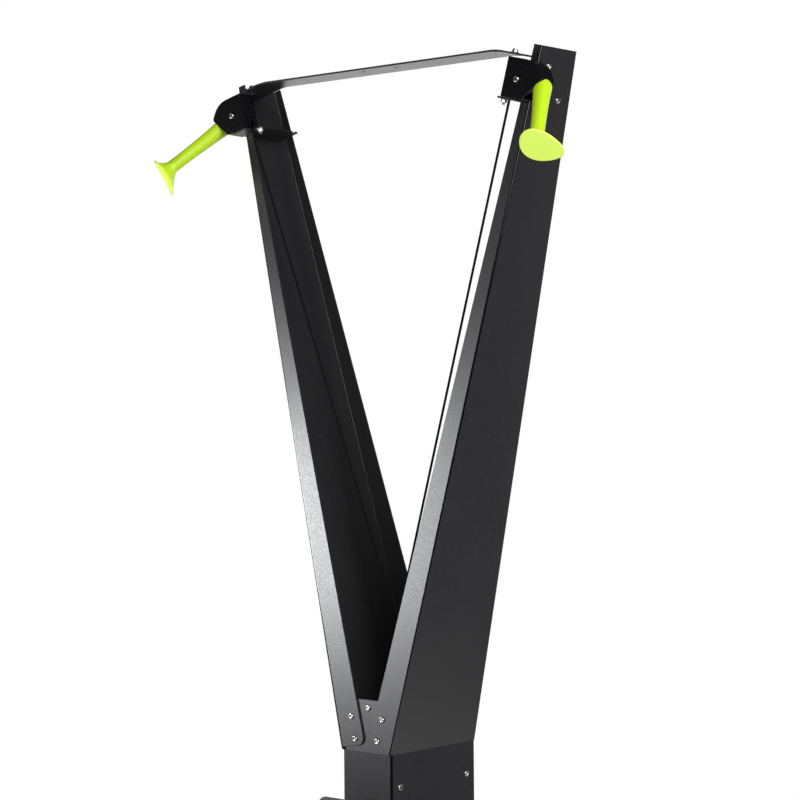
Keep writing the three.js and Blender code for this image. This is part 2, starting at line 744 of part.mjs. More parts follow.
/** A grooved pulley about the y axis, in the middle of its groove. */
function pulleySolid() {
  const half = pulleyWidth / 2;
  const floor = pulleyPitch - cordRadius - seatGap;
  const floorHalf = cordRadius + seatGap;
  const grooveHalfMouth = half - rimThickness;
  const profile = [
    [pulleyBore, -pulleyHubWidth / 2], [lugRadius, -pulleyHubWidth / 2], [lugRadius, -half], [pulleyRim, -half],
    [pulleyRim, -grooveHalfMouth], [floor, -floorHalf], [floor, floorHalf], [pulleyRim, grooveHalfMouth],
    [pulleyRim, half], [lugRadius, half], [lugRadius, pulleyHubWidth / 2], [pulleyBore, pulleyHubWidth / 2],
    [pulleyBore, -pulleyHubWidth / 2],
  ];
  return turned(profile, 'y');
}

/** The bolt that a top pulley turns on, with its spacers. */
function pulleyBoltSolid() {
  const front = -boxHalfDepth - seatGap;
  const back = boxBack - boxSheet - seatGap;
  const hubEnd = pulleyHubWidth / 2 + seatGap;
  const inner = -boxHalfDepth + boxSheet + seatGap;
  const shank = bar(boltRadius, 'y', front, back + boxSheet, [0, 0, 0], 16);
  const head = turned([
    [0, front - boltHeadHeight], [boltHeadRadius / 2, front - boltHeadHeight],
    [boltHeadRadius, front - boltHeadHeight / 3], [boltHeadRadius, front], [0, front],
  ], 'y', [0, 0, 0], 16);
  const spacers = [
    tube(lugRadius, boltRadius - seatGap, 'y', inner, -hubEnd, [0, 0, 0], 16),
    tube(lugRadius, boltRadius - seatGap, 'y', hubEnd, back, [0, 0, 0], 16),
  ];
  return joined([shank, head, ...spacers]);
}

const pulley = pulleySolid();
const pulleyBolt = pulleyBoltSolid();
for (const side of sides) {
  const group = boxGroup(side.group);
  piece(group, `${side.name}_pulley_box`, pulleyBoxSolid(side.name), gloss);
  piece(group, `${side.name}_pulley_cheek`, cheekSolid(side.name), gloss);
  piece(group, `${side.name}_top_pulley`, pulley, nylon);
  piece(group, `${side.name}_pulley_bolt`, pulleyBolt, steel);
}

/** The bracket inside an arm: a plate on the web, and a shelf square to the arm. */
function armBracketSolid() {
  const shelfTop = -boxBottom - seatGap;
  const shelfBottom = shelfTop - shelfThickness;
  const front = -boxHalfDepth;
  const backLocal = new THREE.Vector3(pulleyX, shelfBackY, pulleyRise).applyMatrix4(toBox).y;
  const flangeBack = armFaceDepth + sheet + seatGap;
  const webRoom = new THREE.Vector3(webX(pulleyRise), pulleyY, pulleyRise).applyMatrix4(toBox).x;
  const flangeEdge = webRoom - flangeWidth(pulleyRise) - 2 * seatGap - shelfThickness;
  const shelfStep = shelfScrewSetback - shelfScrewMargin;
  const outline = [
    [-shelfReach, shelfStep], [-boxInner, shelfStep], [-boxInner, front],
    [mouthFoot, front], [mouthFoot, armFaceDepth - seatGap],
    [flangeEdge, armFaceDepth - seatGap], [flangeEdge, flangeBack],
    [webRoom, flangeBack], [webRoom, backLocal], [-shelfReach, backLocal],
  ];
  const leaning = new THREE.Matrix4().copy(boxMatrix);
  const shelfShape = new THREE.Shape(outline.map(([x, y]) => new THREE.Vector2(x, y)));
  const shelfGeometry = new THREE.ExtrudeGeometry(shelfShape, { depth: shelfThickness, bevelEnabled: false });
  shelfGeometry.translate(0, 0, shelfBottom);
  const shelf = solid(shelfGeometry, leaning);
  const low = pulleyRise - boxBottom - seatGap - shelfThickness;
  const high = pulleyRise + uprightTop;
  const plateRing = (shift, from, reach) => [
    [webX(from) - shift, uprightFrontY - reach, from], [webX(from) - shift, shelfBackY + reach, from],
    [webX(high) - shift, shelfBackY + reach, high], [webX(high) - shift, uprightFrontY - reach, high],
  ];
  const face = webThickness + seatGap;
  const plate = between(plateRing(face, low, 0), plateRing(face + webThickness, low, 0));
  const wide = uprightFrontY;
  const outside = between(plateRing(face, low - shelfReach, wide), plateRing(-shelfReach, low - shelfReach, wide));
  const drill = (y, z) => bar(screwHoleRadius, 'x', 0, webX(z) + overrun, [0, y, z], 12);
  const slotCentre = new THREE.Vector3(cordX(shelfTop), cordY(shelfTop), shelfTop).applyMatrix4(boxMatrix);
  const slot = bar(cordSlotHalfWidth, 'z', -shelfReach, shelfReach, slotCentre.toArray(), 16);
  const screwAt = new THREE.Vector3(-shelfScrewReach, 0, -boxBottom).applyMatrix4(boxMatrix);
  const screw = bar(screwHoleRadius, 'z', -shelfReach, shelfReach, [screwAt.x, shelfScrewY, screwAt.z], 12);
  const cuts = [outside, drill(upperScrewY, upperScrewRise), drill(lowerScrewY, lowerScrewRise), slot, screw];
  return joined([shelf, plate]).subtract(joined(cuts));
}
const armBracket = armBracketSolid();
for (const side of sides) {
  piece(side.group, `${side.name}_arm_bracket`, armBracket, charcoal);
}

// Handles

const headPoint = headCentre.clone().applyMatrix4(boxMatrix);

/** A closed skin over rings of points, with a point at each end. */
function loft(rings, first, last) {
  const count = rings[0].length;
  const points = [first, ...rings.flat(), last];
  const index = [];
  const at = (ring, i) => 1 + ring * count + (i % count);
  for (let i = 0; i < count; i += 1) {
    index.push(0, at(0, i + 1), at(0, i));
    index.push(points.length - 1, at(rings.length - 1, i), at(rings.length - 1, i + 1));
    for (let ring = 0; ring + 1 < rings.length; ring += 1) {
      index.push(at(ring, i), at(ring, i + 1), at(ring + 1, i + 1));
      index.push(at(ring, i), at(ring + 1, i + 1), at(ring + 1, i));
    }
  }
  const geometry = new THREE.BufferGeometry();
  geometry.setAttribute('position', new THREE.BufferAttribute(new Float32Array(points.flat()), 3));
  geometry.setIndex(index);
  const shape = solid(geometry);
  return shape.volume() < 0 ? solid(flipped(geometry)) : shape;
}

/** A grip along +z from its head's middle: a ball, a shaft that narrows, and an oblique palm disc. */
function handleSolid() {
  const ringSides = 18;
  const tilt = Math.tan(THREE.MathUtils.degToRad(discTiltDegrees));
  const ring = (distance, long, wide, offset, taper, slope) => Array.from({ length: ringSides }, (_, i) => {
    const angle = (2 * Math.PI * i) / ringSides;
    const x = offset + long * Math.cos(angle);
    const y = wide * Math.sin(angle) * (1 - taper * Math.cos(angle));
    return [x, y, distance + slope * x];
  });
  const rings = [];
  const domeSteps = 5;
  for (let i = 1; i < domeSteps; i += 1) {
    const angle = (Math.PI / 2) * (i / domeSteps);
    const radius = headRadius * Math.sin(angle);
    rings.push(ring(-headRadius * Math.cos(angle), radius, radius, 0, 0, 0));
  }
  const shaftEnd = handleLength - flareLength;
  const shaftSteps = 4;
  for (let i = 0; i <= shaftSteps; i += 1) {
    const share = i / shaftSteps;
    const radius = mix(headRadius, waistRadius, share * (2 - share));
    rings.push(ring(shaftEnd * share, radius, radius, 0, 0, 0));
  }
  const flareSteps = 4;
  for (let i = 1; i <= flareSteps; i += 1) {
    const share = i / flareSteps;
    const swell = share ** flarePower;
    const long = mix(waistRadius, discHalfLength, swell);
    const wide = mix(waistRadius, discHalfWidth, swell);
    rings.push(ring(shaftEnd + flareLength * share, long, wide, discOffset * swell, discTaperShare * swell, tilt * swell));
  }
  const rim = (rise, back) => ring(
    handleLength + rise, discHalfLength - back, discHalfWidth - back, discOffset, discTaperShare, tilt,
  );
  rings.push(rim(discThickness / 2, 0));
  rings.push(rim(discThickness, discThickness / 2));
  const last = [discOffset, 0, handleLength + discThickness + discOffset * tilt];
  const grip = loft(rings, [0, 0, -headRadius], last);
  const pocket = ball(knotPocketRadius, new THREE.Vector3(), 16, 10);
  const hole = bar(cordHoleRadius, 'z', -headRadius - overrun, 0, [0, 0, 0], 12);
  return grip.subtract(joined([pocket, hole]));
}

const handle = handleSolid();
const knot = ball(knotRadius, new THREE.Vector3(), 14, 8);

/** A group at a handle's head, with z along the grip and x along the disc's long axis. */
function handleGroup(parent, name) {
  const down = restDirection(name);
  const wide = new THREE.Vector3(...wideShares[name]);
  wide.addScaledVector(down, -wide.dot(down)).normalize();
  const group = new THREE.Group();
  const other = new THREE.Vector3().crossVectors(down, wide);
  group.applyMatrix4(new THREE.Matrix4().makeBasis(wide, other, down));
  group.position.copy(headPoint);
  parent.add(group);
  return group;
}
for (const side of sides) {
  const group = handleGroup(side.group, side.name);
  piece(group, `${side.name}_handle`, handle, lime);
  piece(group, `${side.name}_cord_knot`, knot, cordBlack);
}

// Column, back cover and what is fixed inside the V's foot

const columnFoot = footHeight + trayHeight + seatGap + footPlateThickness - seamHeight;
const fanRise = -fanDrop;

/** The column: front plate with a tongue, two sides, and a foot plate with ribs. */
function columnSolid() {
  const inner = columnHalfWidth - sheet;
  const front = block(-columnHalfWidth, columnHalfWidth, columnInset, columnInset + sheet, columnFoot, 0);
  const wall = (sign) => {
    const outerX = sign * columnHalfWidth;
    const innerX = sign * inner;
    return block(Math.min(outerX, innerX), Math.max(outerX, innerX), columnInset, columnBackY, columnFoot, 0);
  };
  const tongueOutline = [
    [-tongueHalfWidth, -sheet], [tongueHalfWidth, -sheet], [tongueHalfWidth, tongueRise], [-tongueHalfWidth, tongueRise],
  ];
  const tongueFace = (z) => columnInset + Math.max(0, frontY(z));
  const tongue = leaningSheet(tongueOutline, tongueFace, sheet);
  const lipY = tongueFace(tongueRise);
  const lip = block(-tongueHalfWidth, tongueHalfWidth, lipY, lipY + lipDepth, tongueRise - sheet, tongueRise);
  const plateBottom = columnFoot - footPlateThickness;
  const plateFront = columnInset - footPlateFront;
  const plateBack = columnBackY + footPlateBack;
  const footPlate = block(
    -footPlateHalfWidth, footPlateHalfWidth, plateFront, plateBack, plateBottom, columnFoot,
  );
  const ribs = [-1, 1].flatMap((sign) => [0, 1].map((row) => {
    const start = sign * columnHalfWidth;
    const y = row ? columnBackY - armTabInset - footRibThickness : columnInset + armTabInset;
    const outline = [[start, columnFoot], [sign * (footPlateHalfWidth - sheet), columnFoot],
      [start, columnFoot + footRibHeight]];
    return extruded(sign > 0 ? outline : outline.reverse(), 'y', y, y + footRibThickness);
  }));
  const shellOuter = coverRadius - shroudGap - shroudClearance;
  const frontCut = bar(shellOuter, 'x', -inner, inner, [0, fanY, fanRise], 48);
  const frontOnly = block(-inner, inner, columnInset - overrun, columnInset + sheet + overrun,
    fanRise - coverRadius, fanRise + coverRadius);
  const sideHole = bar(columnHoleRadius, 'x', -columnHalfWidth - overrun, columnHalfWidth + overrun,
    [0, fanY, fanRise], 40);
  const drillSide = (y, z) => bar(screwHoleRadius, 'x', -columnHalfWidth - overrun, columnHalfWidth + overrun,
    [0, y, z], 12);
  const drillFront = (x, z) => bar(screwHoleRadius, 'y', -overrun, lipDepth, [x, columnInset, z], 12);
  const drillFoot = (x, y) => bar(footBoltRadius, 'z', plateBottom - overrun, columnFoot + overrun, [x, y, 0], 16);
  const screwFront = columnInset + sheet + armTabInset + armTabWidth / 4;
  const screwBack = columnBackY - sheet - armTabInset - armTabWidth / 4;
  const cuts = [
    frontCut.intersect(frontOnly), sideHole,
    drillSide(screwFront, -armTabScrewDrop), drillSide(screwBack, -armTabScrewDrop),
    drillFront(0, tongueRise - screwHoleRadius * 4),
  ];
  for (const sign of [-1, 1]) {
    cuts.push(drillFront(sign * flangeScrewX[0], flangeScrewRows[0]));
    cuts.push(drillFront(sign * flangeScrewX[1], flangeScrewRows[1]));
    for (const y of [plateFront + footBoltInset, plateBack - footBoltInset]) {
      cuts.push(drillFoot(sign * (footPlateHalfWidth - footBoltInset), y));
    }
  }
  return joined([front, wall(1), wall(-1), tongue, lip, footPlate, ...ribs]).subtract(joined(cuts));
}
piece(upper, 'column', columnSolid(), charcoal);

/** The cover that closes the column's back, with a tongue behind the arms' back flanges. */
function backCoverSolid() {
  const half = columnHalfWidth - sheet - seatGap;
  const face = columnBackY - sheet;
  const flat = block(-half, half, face, columnBackY, columnFoot + seatGap, 0);
  const outline = [[-tongueHalfWidth, -sheet], [tongueHalfWidth, -sheet], [tongueHalfWidth, tongueRise],
    [-tongueHalfWidth, tongueRise]];
  const plane = (z) => (z > 0 ? backY(z) - sheet - seatGap : columnBackY) - sheet;
  const tongue = leaningSheet(outline, plane, sheet);
  const cuts = [-1, 1].flatMap((sign) => [0, 1].map((row) => bar(
    screwHoleRadius, 'y', face - armTabInset, columnBackY + overrun,
    [sign * flangeScrewX[row], 0, flangeScrewRows[row]], 12,
  )));
  return joined([flat, tongue]).subtract(joined(cuts));
}
piece(upper, 'back_cover', backCoverSolid(), charcoal);

/** The plate that carries the two guide pulleys, with ears on the column's inner faces. */
function guideBracketSolid() {
  const inner = columnHalfWidth - sheet;
  const back = guidePlateY + sheet;
  const plate = block(-guidePlateHalfWidth, guidePlateHalfWidth, guidePlateY, back, -guidePlateDrop,
    guideRise + guidePlateMargin);
  const earTop = -sheet;
  const ears = [-1, 1].flatMap((sign) => {
    const outer = sign * inner;
    const web = sign * guidePlateHalfWidth;
    const turn = block(Math.min(outer, web - sign * sheet), Math.max(outer, web - sign * sheet),
      guidePlateY, back, -guidePlateDrop, earTop);
    const ear = block(Math.min(outer, outer - sign * sheet), Math.max(outer, outer - sign * sheet),
      back - guideEarDepth, back, -guidePlateDrop, earTop);
    return [turn, ear];
  });
  const holes = [-1, 1].map((sign) => bar(boltRadius + seatGap, 'y', guidePlateY - overrun, back + overrun,
    [sign * guideX, 0, guideRise], 20));
  return joined([plate, ...ears]).subtract(joined(holes));
}
piece(upper, 'guide_bracket', guideBracketSolid(), charcoal);

/** A guide pulley's pin, from its head to its nut behind the plate. */
function guidePinSolid(planeY) {
  const front = planeY - pulleyHubWidth / 2 - seatGap;
  const shank = bar(boltRadius, 'y', front, guidePlateY + sheet + seatGap, [0, 0, 0], 16);
  const head = bar(guidePinHeadRadius, 'y', front - guidePinHeadHeight, front, [0, 0, 0], 16);
  const nutFrom = guidePlateY + sheet + seatGap;
  const nut = bar(guidePinHeadRadius, 'y', nutFrom, nutFrom + guidePinHeadHeight, [0, 0, 0], 6);
  const spacerFrom = planeY + pulleyHubWidth / 2 + seatGap;
  const spacerTo = guidePlateY - seatGap;
  const parts = [shank, head, nut];
  if (spacerTo - spacerFrom > seatGap) {
    parts.push(tube(lugRadius, boltRadius - seatGap, 'y', spacerFrom, spacerTo, [0, 0, 0], 16));
  }
  return joined(parts);
}

const guidePlanes = { left: farPlaneY, right: nearPlaneY };
for (const side of sides) {
  const planeY = guidePlanes[side.name];
  const pinGroup = placed(upper, side.sign * guideX, 0, guideRise);
  piece(pinGroup, `${side.name}_guide_pin`, guidePinSolid(planeY), steel);
  const pulleyGroup = placed(upper, side.sign * guideX, planeY, guideRise);
  piece(pulleyGroup, `${side.name}_guide_pulley`, pulley, nylon);
}

// Cords: from each handle over its top pulley, across the V, round the far guide pulley and down to a drum

/** Points of an arc about a centre in an x-z plane, as [x, y, z]. */
function arcPoints(centre, radius, from, to, steps) {
  return Array.from({ length: steps + 1 }, (_, i) => {
    const angle = mix(from, to, i / steps);
    return new THREE.Vector3(centre.x + radius * Math.cos(angle), centre.y, centre.z + radius * Math.sin(angle));
  });
}

/** A cord's route for one handle, before the left side is mirrored, with its guide pulley in planeY. */
function cordRoute(name, planeY) {
  const down = restDirection(name);
  const crown = headPoint.clone().addScaledVector(down, -(headRadius + seatClearance));
  const crownLead = crown.clone().addScaledVector(down, -2 * cordRadius);
  const leadLocal = crownLead.clone().applyMatrix4(toBox);
  const leadAngle = Math.atan2(leadLocal.z, leadLocal.x);
  const mouthAngle = leadAngle + Math.acos(pulleyPitch / Math.hypot(leadLocal.x, leadLocal.z));
  const rimReach = Math.sqrt(pulleyRim ** 2 - pulleyPitch ** 2) + 2 * cordRadius;
  const approach = new THREE.Vector3(
    pulleyPitch * Math.cos(mouthAngle) + rimReach * Math.sin(mouthAngle), 0,
    pulleyPitch * Math.sin(mouthAngle) - rimReach * Math.cos(mouthAngle),
  ).applyMatrix4(boxMatrix);
  const guide = new THREE.Vector3(-guideX, planeY, guideRise);
  const guideLocal = guide.clone().applyMatrix4(toBox);
  const downAngle = Math.atan2(guideLocal.z, guideLocal.x) + 1.5 * Math.PI;
  const topArc = arcPoints(new THREE.Vector3(), pulleyPitch, mouthAngle, downAngle, 10);
  const over = topArc.map((point) => point.applyMatrix4(boxMatrix));
  const tilt = Math.atan2(pulleyX - guide.x, pulleyRise - guide.z);
  const drumPoint = new THREE.Vector3(-drumX, fanY + drumPitch, fanRise);
  const fall = new THREE.Vector3().subVectors(drumPoint, guide);
  const fallLength = Math.hypot(fall.x, fall.z);
  const leave = Math.PI + (Math.PI / 2 - Math.acos(pulleyPitch / fallLength)) - Math.atan2(-fall.x, -fall.z) * -1;
  const guideArc = arcPoints(guide, pulleyPitch, Math.PI - tilt, leave, 5);
  const route = [crown, crownLead, approach, ...over];
  const start = over[over.length - 1];
  const end = guideArc[0];
  const runSteps = 10;
  for (let i = 1; i < runSteps; i += 1) {
    route.push(new THREE.Vector3().lerpVectors(start, end, i / runSteps));
  }
  route.push(...guideArc);
  const dropSteps = 8;
  const dropStart = guideArc[guideArc.length - 1];
  for (let i = 1; i <= dropSteps; i += 1) {
    route.push(new THREE.Vector3().lerpVectors(dropStart, drumPoint, i / dropSteps));
  }
  return route;
}

/** A cord along a route, as a tube with a ring at each of the route's points. */
function cordGeometry(route) {
  const path = new THREE.CatmullRomCurve3(route, false, 'centripetal');
  path.getPointAt = path.getPoint;
  path.getTangentAt = path.getTangent;
  const section = Array.from({ length: cordSides }, (_, i) => {
    const angle = (2 * Math.PI * i) / cordSides;
    return new THREE.Vector2(cordRadius * Math.cos(angle), cordRadius * Math.sin(angle));
  });
  const steps = route.length - 1;
  return new THREE.ExtrudeGeometry(new THREE.Shape(section), { steps, bevelEnabled: false, extrudePath: path });
}
piece(upper, 'right_drive_cord', solid(cordGeometry(cordRoute('right', farPlaneY))), cordBlack);
piece(leftUpper, 'left_drive_cord', solid(cordGeometry(cordRoute('left', nearPlaneY))), cordBlack);

// Flywheel and drive: local origin in the middle of the shaft, x along it
const drive = placed(object, 0, frontPlaneY + fanY, seamHeight - fanDrop);
const leftDrive = mirrored(drive);
const driveSides = [{ name: 'right', group: drive }, { name: 'left', group: leftDrive }];

/** The fan: a hub, a disc, and radial blades on both faces. */
function fanSolid() {
  const hub = bar(fanHubRadius, 'x', -fanHalfWidth, fanHalfWidth);
  const disc = bar(fanRadius, 'x', -fanDisc / 2, fanDisc / 2, [0, 0, 0], 40);
  const blade = new THREE.BoxGeometry(2 * fanHalfWidth, bladeThickness, fanRadius - sheet - bladeInner);
  blade.translate(0, 0, (fanRadius - sheet + bladeInner) / 2);
  const blades = Array.from({ length: bladeCount }, (_, i) => {
    const turn = new THREE.Matrix4().makeRotationX((2 * Math.PI * i) / bladeCount);
    return solid(blade, turn);
  });
  const bore = bar(shaftRadius + shaftClearance, 'x', -fanHalfWidth - overrun, fanHalfWidth + overrun);
  return joined([hub, disc, ...blades]).subtract(bore);
}
piece(drive, 'fan_wheel', fanSolid(), steel);
piece(drive, 'fan_shaft', bar(shaftRadius, 'x', -shaftHalfLength, shaftHalfLength), steel);

/** A drum: two flanges and the wound cord between them, on a one-way hub. */
function drumSolid() {
  const from = drumX - drumHalfWidth;
  const to = drumX + drumHalfWidth;
  const wound = drumPitch - cordRadius - seatGap;
  const bore = shaftRadius + shaftClearance;
  const profile = [
    [bore, from], [drumRim, from], [drumRim, from + drumFlange], [wound, from + drumFlange],
    [wound, to - drumFlange], [drumRim, to - drumFlange], [drumRim, to], [drumCore, to],
    [drumCore, to + drumFlange], [bore, to + drumFlange], [bore, from],
  ];
  return turned(profile, 'x', [0, 0, 0], 20);
}

/** The cup that holds a recoil spring, open towards its drum. */
function springCaseSolid() {
  const bore = shaftRadius + 2 * shaftClearance;
  const profile = [
    [bore, caseOuterX - caseWall], [caseRadius - caseWall, caseOuterX - caseWall],
    [caseRadius - caseWall, caseInnerX], [caseRadius, caseInnerX], [caseRadius, caseOuterX],
    [bore, caseOuterX], [bore, caseOuterX - caseWall],
  ];
  return turned(profile, 'x', [0, 0, 0], 24);
}
const drum = drumSolid();
const springCase = springCaseSolid();
const spring = tube(springOuter, springInner, 'x', caseInnerX + springMargin, caseOuterX - caseWall - seatGap);
const bearing = tube(bearingRadius, shaftRadius + shaftClearance, 'x', bearingInnerX, bearingInnerX + bearingWidth);

/** Outline of one vent slot about the shaft, as [y, z] points. */
function ventOutline(middle, innerRadius, outerRadius) {
  const half = (Math.PI / ventCount) * ventShare;
  const steps = 1;
  const arc = (radius, from, to) => Array.from({ length: steps + 1 }, (_, i) => {
    const angle = mix(from, to, i / steps);
    return [radius * Math.cos(angle), radius * Math.sin(angle)];
  });
  return [...arc(innerRadius, middle + half, middle - half), ...arc(outerRadius, middle - half, middle + half)];
}

/** The ring of vent slots, as one cutting solid. */
function ventCutter(from, to) {
  const slots = Array.from({ length: ventCount }, (_, i) => {
    const middle = (2 * Math.PI * i) / ventCount;
    return extruded(ventOutline(middle, ventInner, ventOuter), 'x', from, to);
  });
  return joined(slots);
}

/** A side cover: a vented disc with a rim, a bearing hub, and a ring for the damper to turn on. */
function coverSolid() {
  const inner = columnHalfWidth;
  const outer = inner + sheet;
  const disc = bar(coverRadius, 'x', inner, outer, [0, 0, 0], 48);
  const rim = tube(coverRadius, coverRadius - coverRimWidth, 'x', inner, outer + coverRimHeight, [0, 0, 0], 48);
  const hub = bar(hubRadius, 'x', hubInnerX, hubOuterX);
  const guide = tube(damperGuide, damperGuide - sheet, 'x', inner, outer + damperGuideHeight, [0, 0, 0], 32);
  const seat = bar(bearingRadius + seatGap, 'x', bearingInnerX - seatGap, hubOuterX + overrun, [0, 0, 0], 24);
  const bore = bar(hubLip, 'x', hubInnerX - overrun, hubOuterX + overrun);
  const cuts = joined([seat, bore, ventCutter(inner - overrun, outer + overrun)]);
  return joined([disc, rim, hub, guide]).subtract(cuts);
}
const cover = coverSolid();
const bearingCap = bar(hubRadius, 'x', hubOuterX + seatGap, hubOuterX + seatGap + capThickness);
for (const side of driveSides) {
  piece(side.group, `${side.name}_drum`, drum, plastic);
  piece(side.group, `${side.name}_spring_case`, springCase, plastic);
  piece(side.group, `${side.name}_recoil_spring`, spring, steel);
  piece(side.group, `${side.name}_bearing`, bearing, steel);
  piece(side.group, `${side.name}_fan_cover`, cover, plastic);
  piece(side.group, `${side.name}_bearing_cap`, bearingCap, plastic);
}

/** The curved sheet that closes the fan's front, between the covers and the column. */
function shroudSolid() {
  const outer = coverRadius - shroudGap;
  const half = columnHalfWidth - seatGap;
  const band = tube(outer, outer - shroudSheet, 'x', -half, half, [0, 0, 0], 48);
  const behind = block(-half - overrun, half + overrun, columnInset - seatGap - fanY, coverRadius, -coverRadius,
    coverRadius);
  return band.subtract(behind);
}
piece(drive, 'fan_shroud', shroudSolid(), plastic);

/** The damper: a slotted disc on the right cover with a lever towards the user. */
function damperSolid() {
  const from = columnHalfWidth + sheet + seatGap;
  const to = from + damperSheet;
  const disc = tube(damperOuter, damperGuide + seatGap, 'x', from, to, [0, 0, 0], 32);
  const rimTop = columnHalfWidth + sheet + coverRimHeight + seatGap;
  const stepFrom = -coverRadius + coverRimWidth + leverRimClearance;
  const stepTo = stepFrom + sheet;
  const arm = block(from, to, stepFrom, -damperOuter + coverRimWidth, -leverWidth / 2,
    leverWidth / 2);
  const step = block(from, rimTop + damperSheet, stepFrom,
    stepTo, -leverWidth / 2, leverWidth / 2);
  const bridge = block(rimTop, rimTop + damperSheet, -leverReach, stepTo,
    -leverWidth / 2, leverWidth / 2);
  const knobOutline = roundRectangle(-leverReach, -leverReach + leverKnobLength, -leverWidth, leverWidth, leverWidth / 2);
  const knob = extruded(knobOutline, 'x', rimTop, rimTop + leverKnobDepth);
  const clearRim = tube(coverRadius + leverKnobLength, coverRadius + seatGap, 'x', rimTop - overrun, rimTop, [0, 0, 0], 48);
  return joined([disc, arm, step, bridge, knob]).subtract(joined([ventCutter(from - overrun, to + overrun), clearRim]));
}
piece(drive, 'damper_lever', damperSolid(), gloss);
const retainerFrom = columnHalfWidth + sheet + damperGuideHeight + seatGap;
piece(drive, 'damper_retainer', tube(retainerOuter, retainerInner, 'x', retainerFrom, retainerFrom + retainerThickness,
  [0, 0, 0], 32), steel);

// Monitor: local origin on its hinge, leaning back, with z up its back face
const monitorMount = placed(upper, 0, -monitorHingeReach, -monitorHingeDrop);
const monitor = placed(monitorMount, 0, 0, 0);
monitor.rotation.x = -THREE.MathUtils.degToRad(monitorTiltDegrees);

const monitorBackFace = -hingeToBack;
const monitorSeam = monitorBackFace - monitorBackDepth;
const monitorFace = monitorSeam - monitorFrontDepth;
const monitorTop = hingeToTop;
const monitorBottom = monitorTop - monitorHeight;
const screenTop = monitorTop - screenTopMargin;
const buttonZ = monitorBottom + buttonMargin;
const screenBottom = buttonZ + screenButtonGap;
const monitorOutline = roundRectangle(-monitorHalfWidth, monitorHalfWidth, monitorBottom, monitorTop, monitorCorner);
const monitorHollow = roundRectangle(
  -monitorHalfWidth + monitorWall, monitorHalfWidth - monitorWall,
  monitorBottom + monitorWall, monitorTop - monitorWall, monitorCorner - monitorWall,
);

/** The monitor's front shell, with a window and three button holes. */
function monitorFrontSolid() {
  const shell = extruded(monitorOutline, 'y', monitorFace, monitorSeam - seatGap);
  const hollow = extruded(monitorHollow, 'y', monitorFace + monitorWall, monitorSeam + overrun);
  const windowOutline = roundRectangle(-screenHalfWidth, screenHalfWidth, screenBottom, screenTop, monitorWall);
  const recess = extruded(windowOutline, 'y', monitorFace - overrun, monitorFace + screenThickness + seatGap);
  const sight = roundRectangle(-screenHalfWidth + monitorWall, screenHalfWidth - monitorWall,
    screenBottom + monitorWall, screenTop - monitorWall, monitorWall / 2);
  const window = extruded(sight, 'y', monitorFace - overrun, monitorFace + monitorWall + overrun);
  const holes = [-1, 0, 1].map((place) => bar(buttonRadius + seatGap, 'y', monitorFace - overrun,
    monitorFace + monitorWall + overrun, [place * buttonPitch, 0, buttonZ], 24));
  return shell.subtract(joined([hollow, recess, window, ...holes]));
}

/** The monitor's back shell, with two ears for the hinge. */
function monitorBackSolid() {
  const shell = extruded(monitorOutline, 'y', monitorSeam, monitorBackFace);
  const hollow = extruded(monitorHollow, 'y', monitorSeam - overrun, monitorBackFace - monitorWall);
  const ears = [-1, 1].map((sign) => {
    const inner = sign * hingeEarHalfGap;
    const outer = sign * (hingeEarHalfGap + hingeEarThickness);
    const low = Math.min(inner, outer);
    const high = Math.max(inner, outer);
    const root = block(low, high, monitorBackFace - monitorWall, 0, -hingeEarRadius, hingeEarRadius);
    return root.add(bar(hingeEarRadius, 'x', low, high, [0, 0, 0], 20));
  });
  const reach = hingeEarHalfGap + hingeEarThickness + overrun;
  const bore = bar(hingePinRadius + seatGap, 'x', -reach, reach, [0, 0, 0], 24);
  return joined([shell.subtract(hollow), ...ears]).subtract(bore);
}
piece(monitor, 'monitor_front', monitorFrontSolid(), plastic);
piece(monitor, 'monitor_back', monitorBackSolid(), plastic);
const screenOutline = roundRectangle(-screenHalfWidth + seatGap, screenHalfWidth - seatGap, screenBottom + seatGap,
  screenTop - seatGap, monitorWall);
piece(monitor, 'monitor_screen', extruded(screenOutline, 'y', monitorFace, monitorFace + screenThickness), glass);
const buttonInner = monitorFace + monitorWall + seatGap;
const button = turned([
  [0, monitorFace - buttonStand], [buttonRadius - seatGap, monitorFace - buttonStand],
  [buttonRadius, monitorFace - buttonStand + seatGap], [buttonRadius, buttonInner],
  [buttonRadius + buttonFlange, buttonInner], [buttonRadius + buttonFlange, buttonInner + buttonFlangeThickness],
  [0, buttonInner + buttonFlangeThickness],
], 'y', [0, 0, 0], 20);
['left', 'middle', 'right'].forEach((name, i) => {
  const group = placed(monitor, (i - 1) * buttonPitch, 0, buttonZ);
  piece(group, `${name}_monitor_button`, button, gloss);
});

/** The bracket on the column's front: a plate and a tongue between the monitor's ears. */
function monitorBracketSolid() {
  const face = columnInset + monitorHingeReach;
  const plate = block(-bracketHalfWidth, bracketHalfWidth, face - bracketThickness, face, -bracketHeight / 2,
    bracketHeight / 2);
  const half = hingeEarHalfGap - tongueClearance;
  const tongue = block(-half, half, 0, face - bracketThickness, -hingeEarRadius, hingeEarRadius);
  const boss = bar(hingeEarRadius, 'x', -half, half, [0, 0, 0], 20);
  const bore = bar(hingePinRadius + seatGap, 'x', -half - overrun, half + overrun, [0, 0, 0], 24);
  return joined([plate, tongue, boss]).subtract(bore);
}
piece(monitorMount, 'monitor_bracket', monitorBracketSolid(), charcoal);
const pinReach = hingeEarHalfGap + hingeEarThickness + sheet;
const pinEar = hingeEarHalfGap + hingeEarThickness + seatGap;
piece(monitorMount, 'monitor_hinge_pin', joined([
  bar(hingePinRadius, 'x', -pinReach, pinReach, [0, 0, 0], 24),
  bar(hingeEarRadius * hingeKnobShare, 'x', pinEar, pinReach + sheet, [0, 0, 0], 24),
]), steel);

// Platform

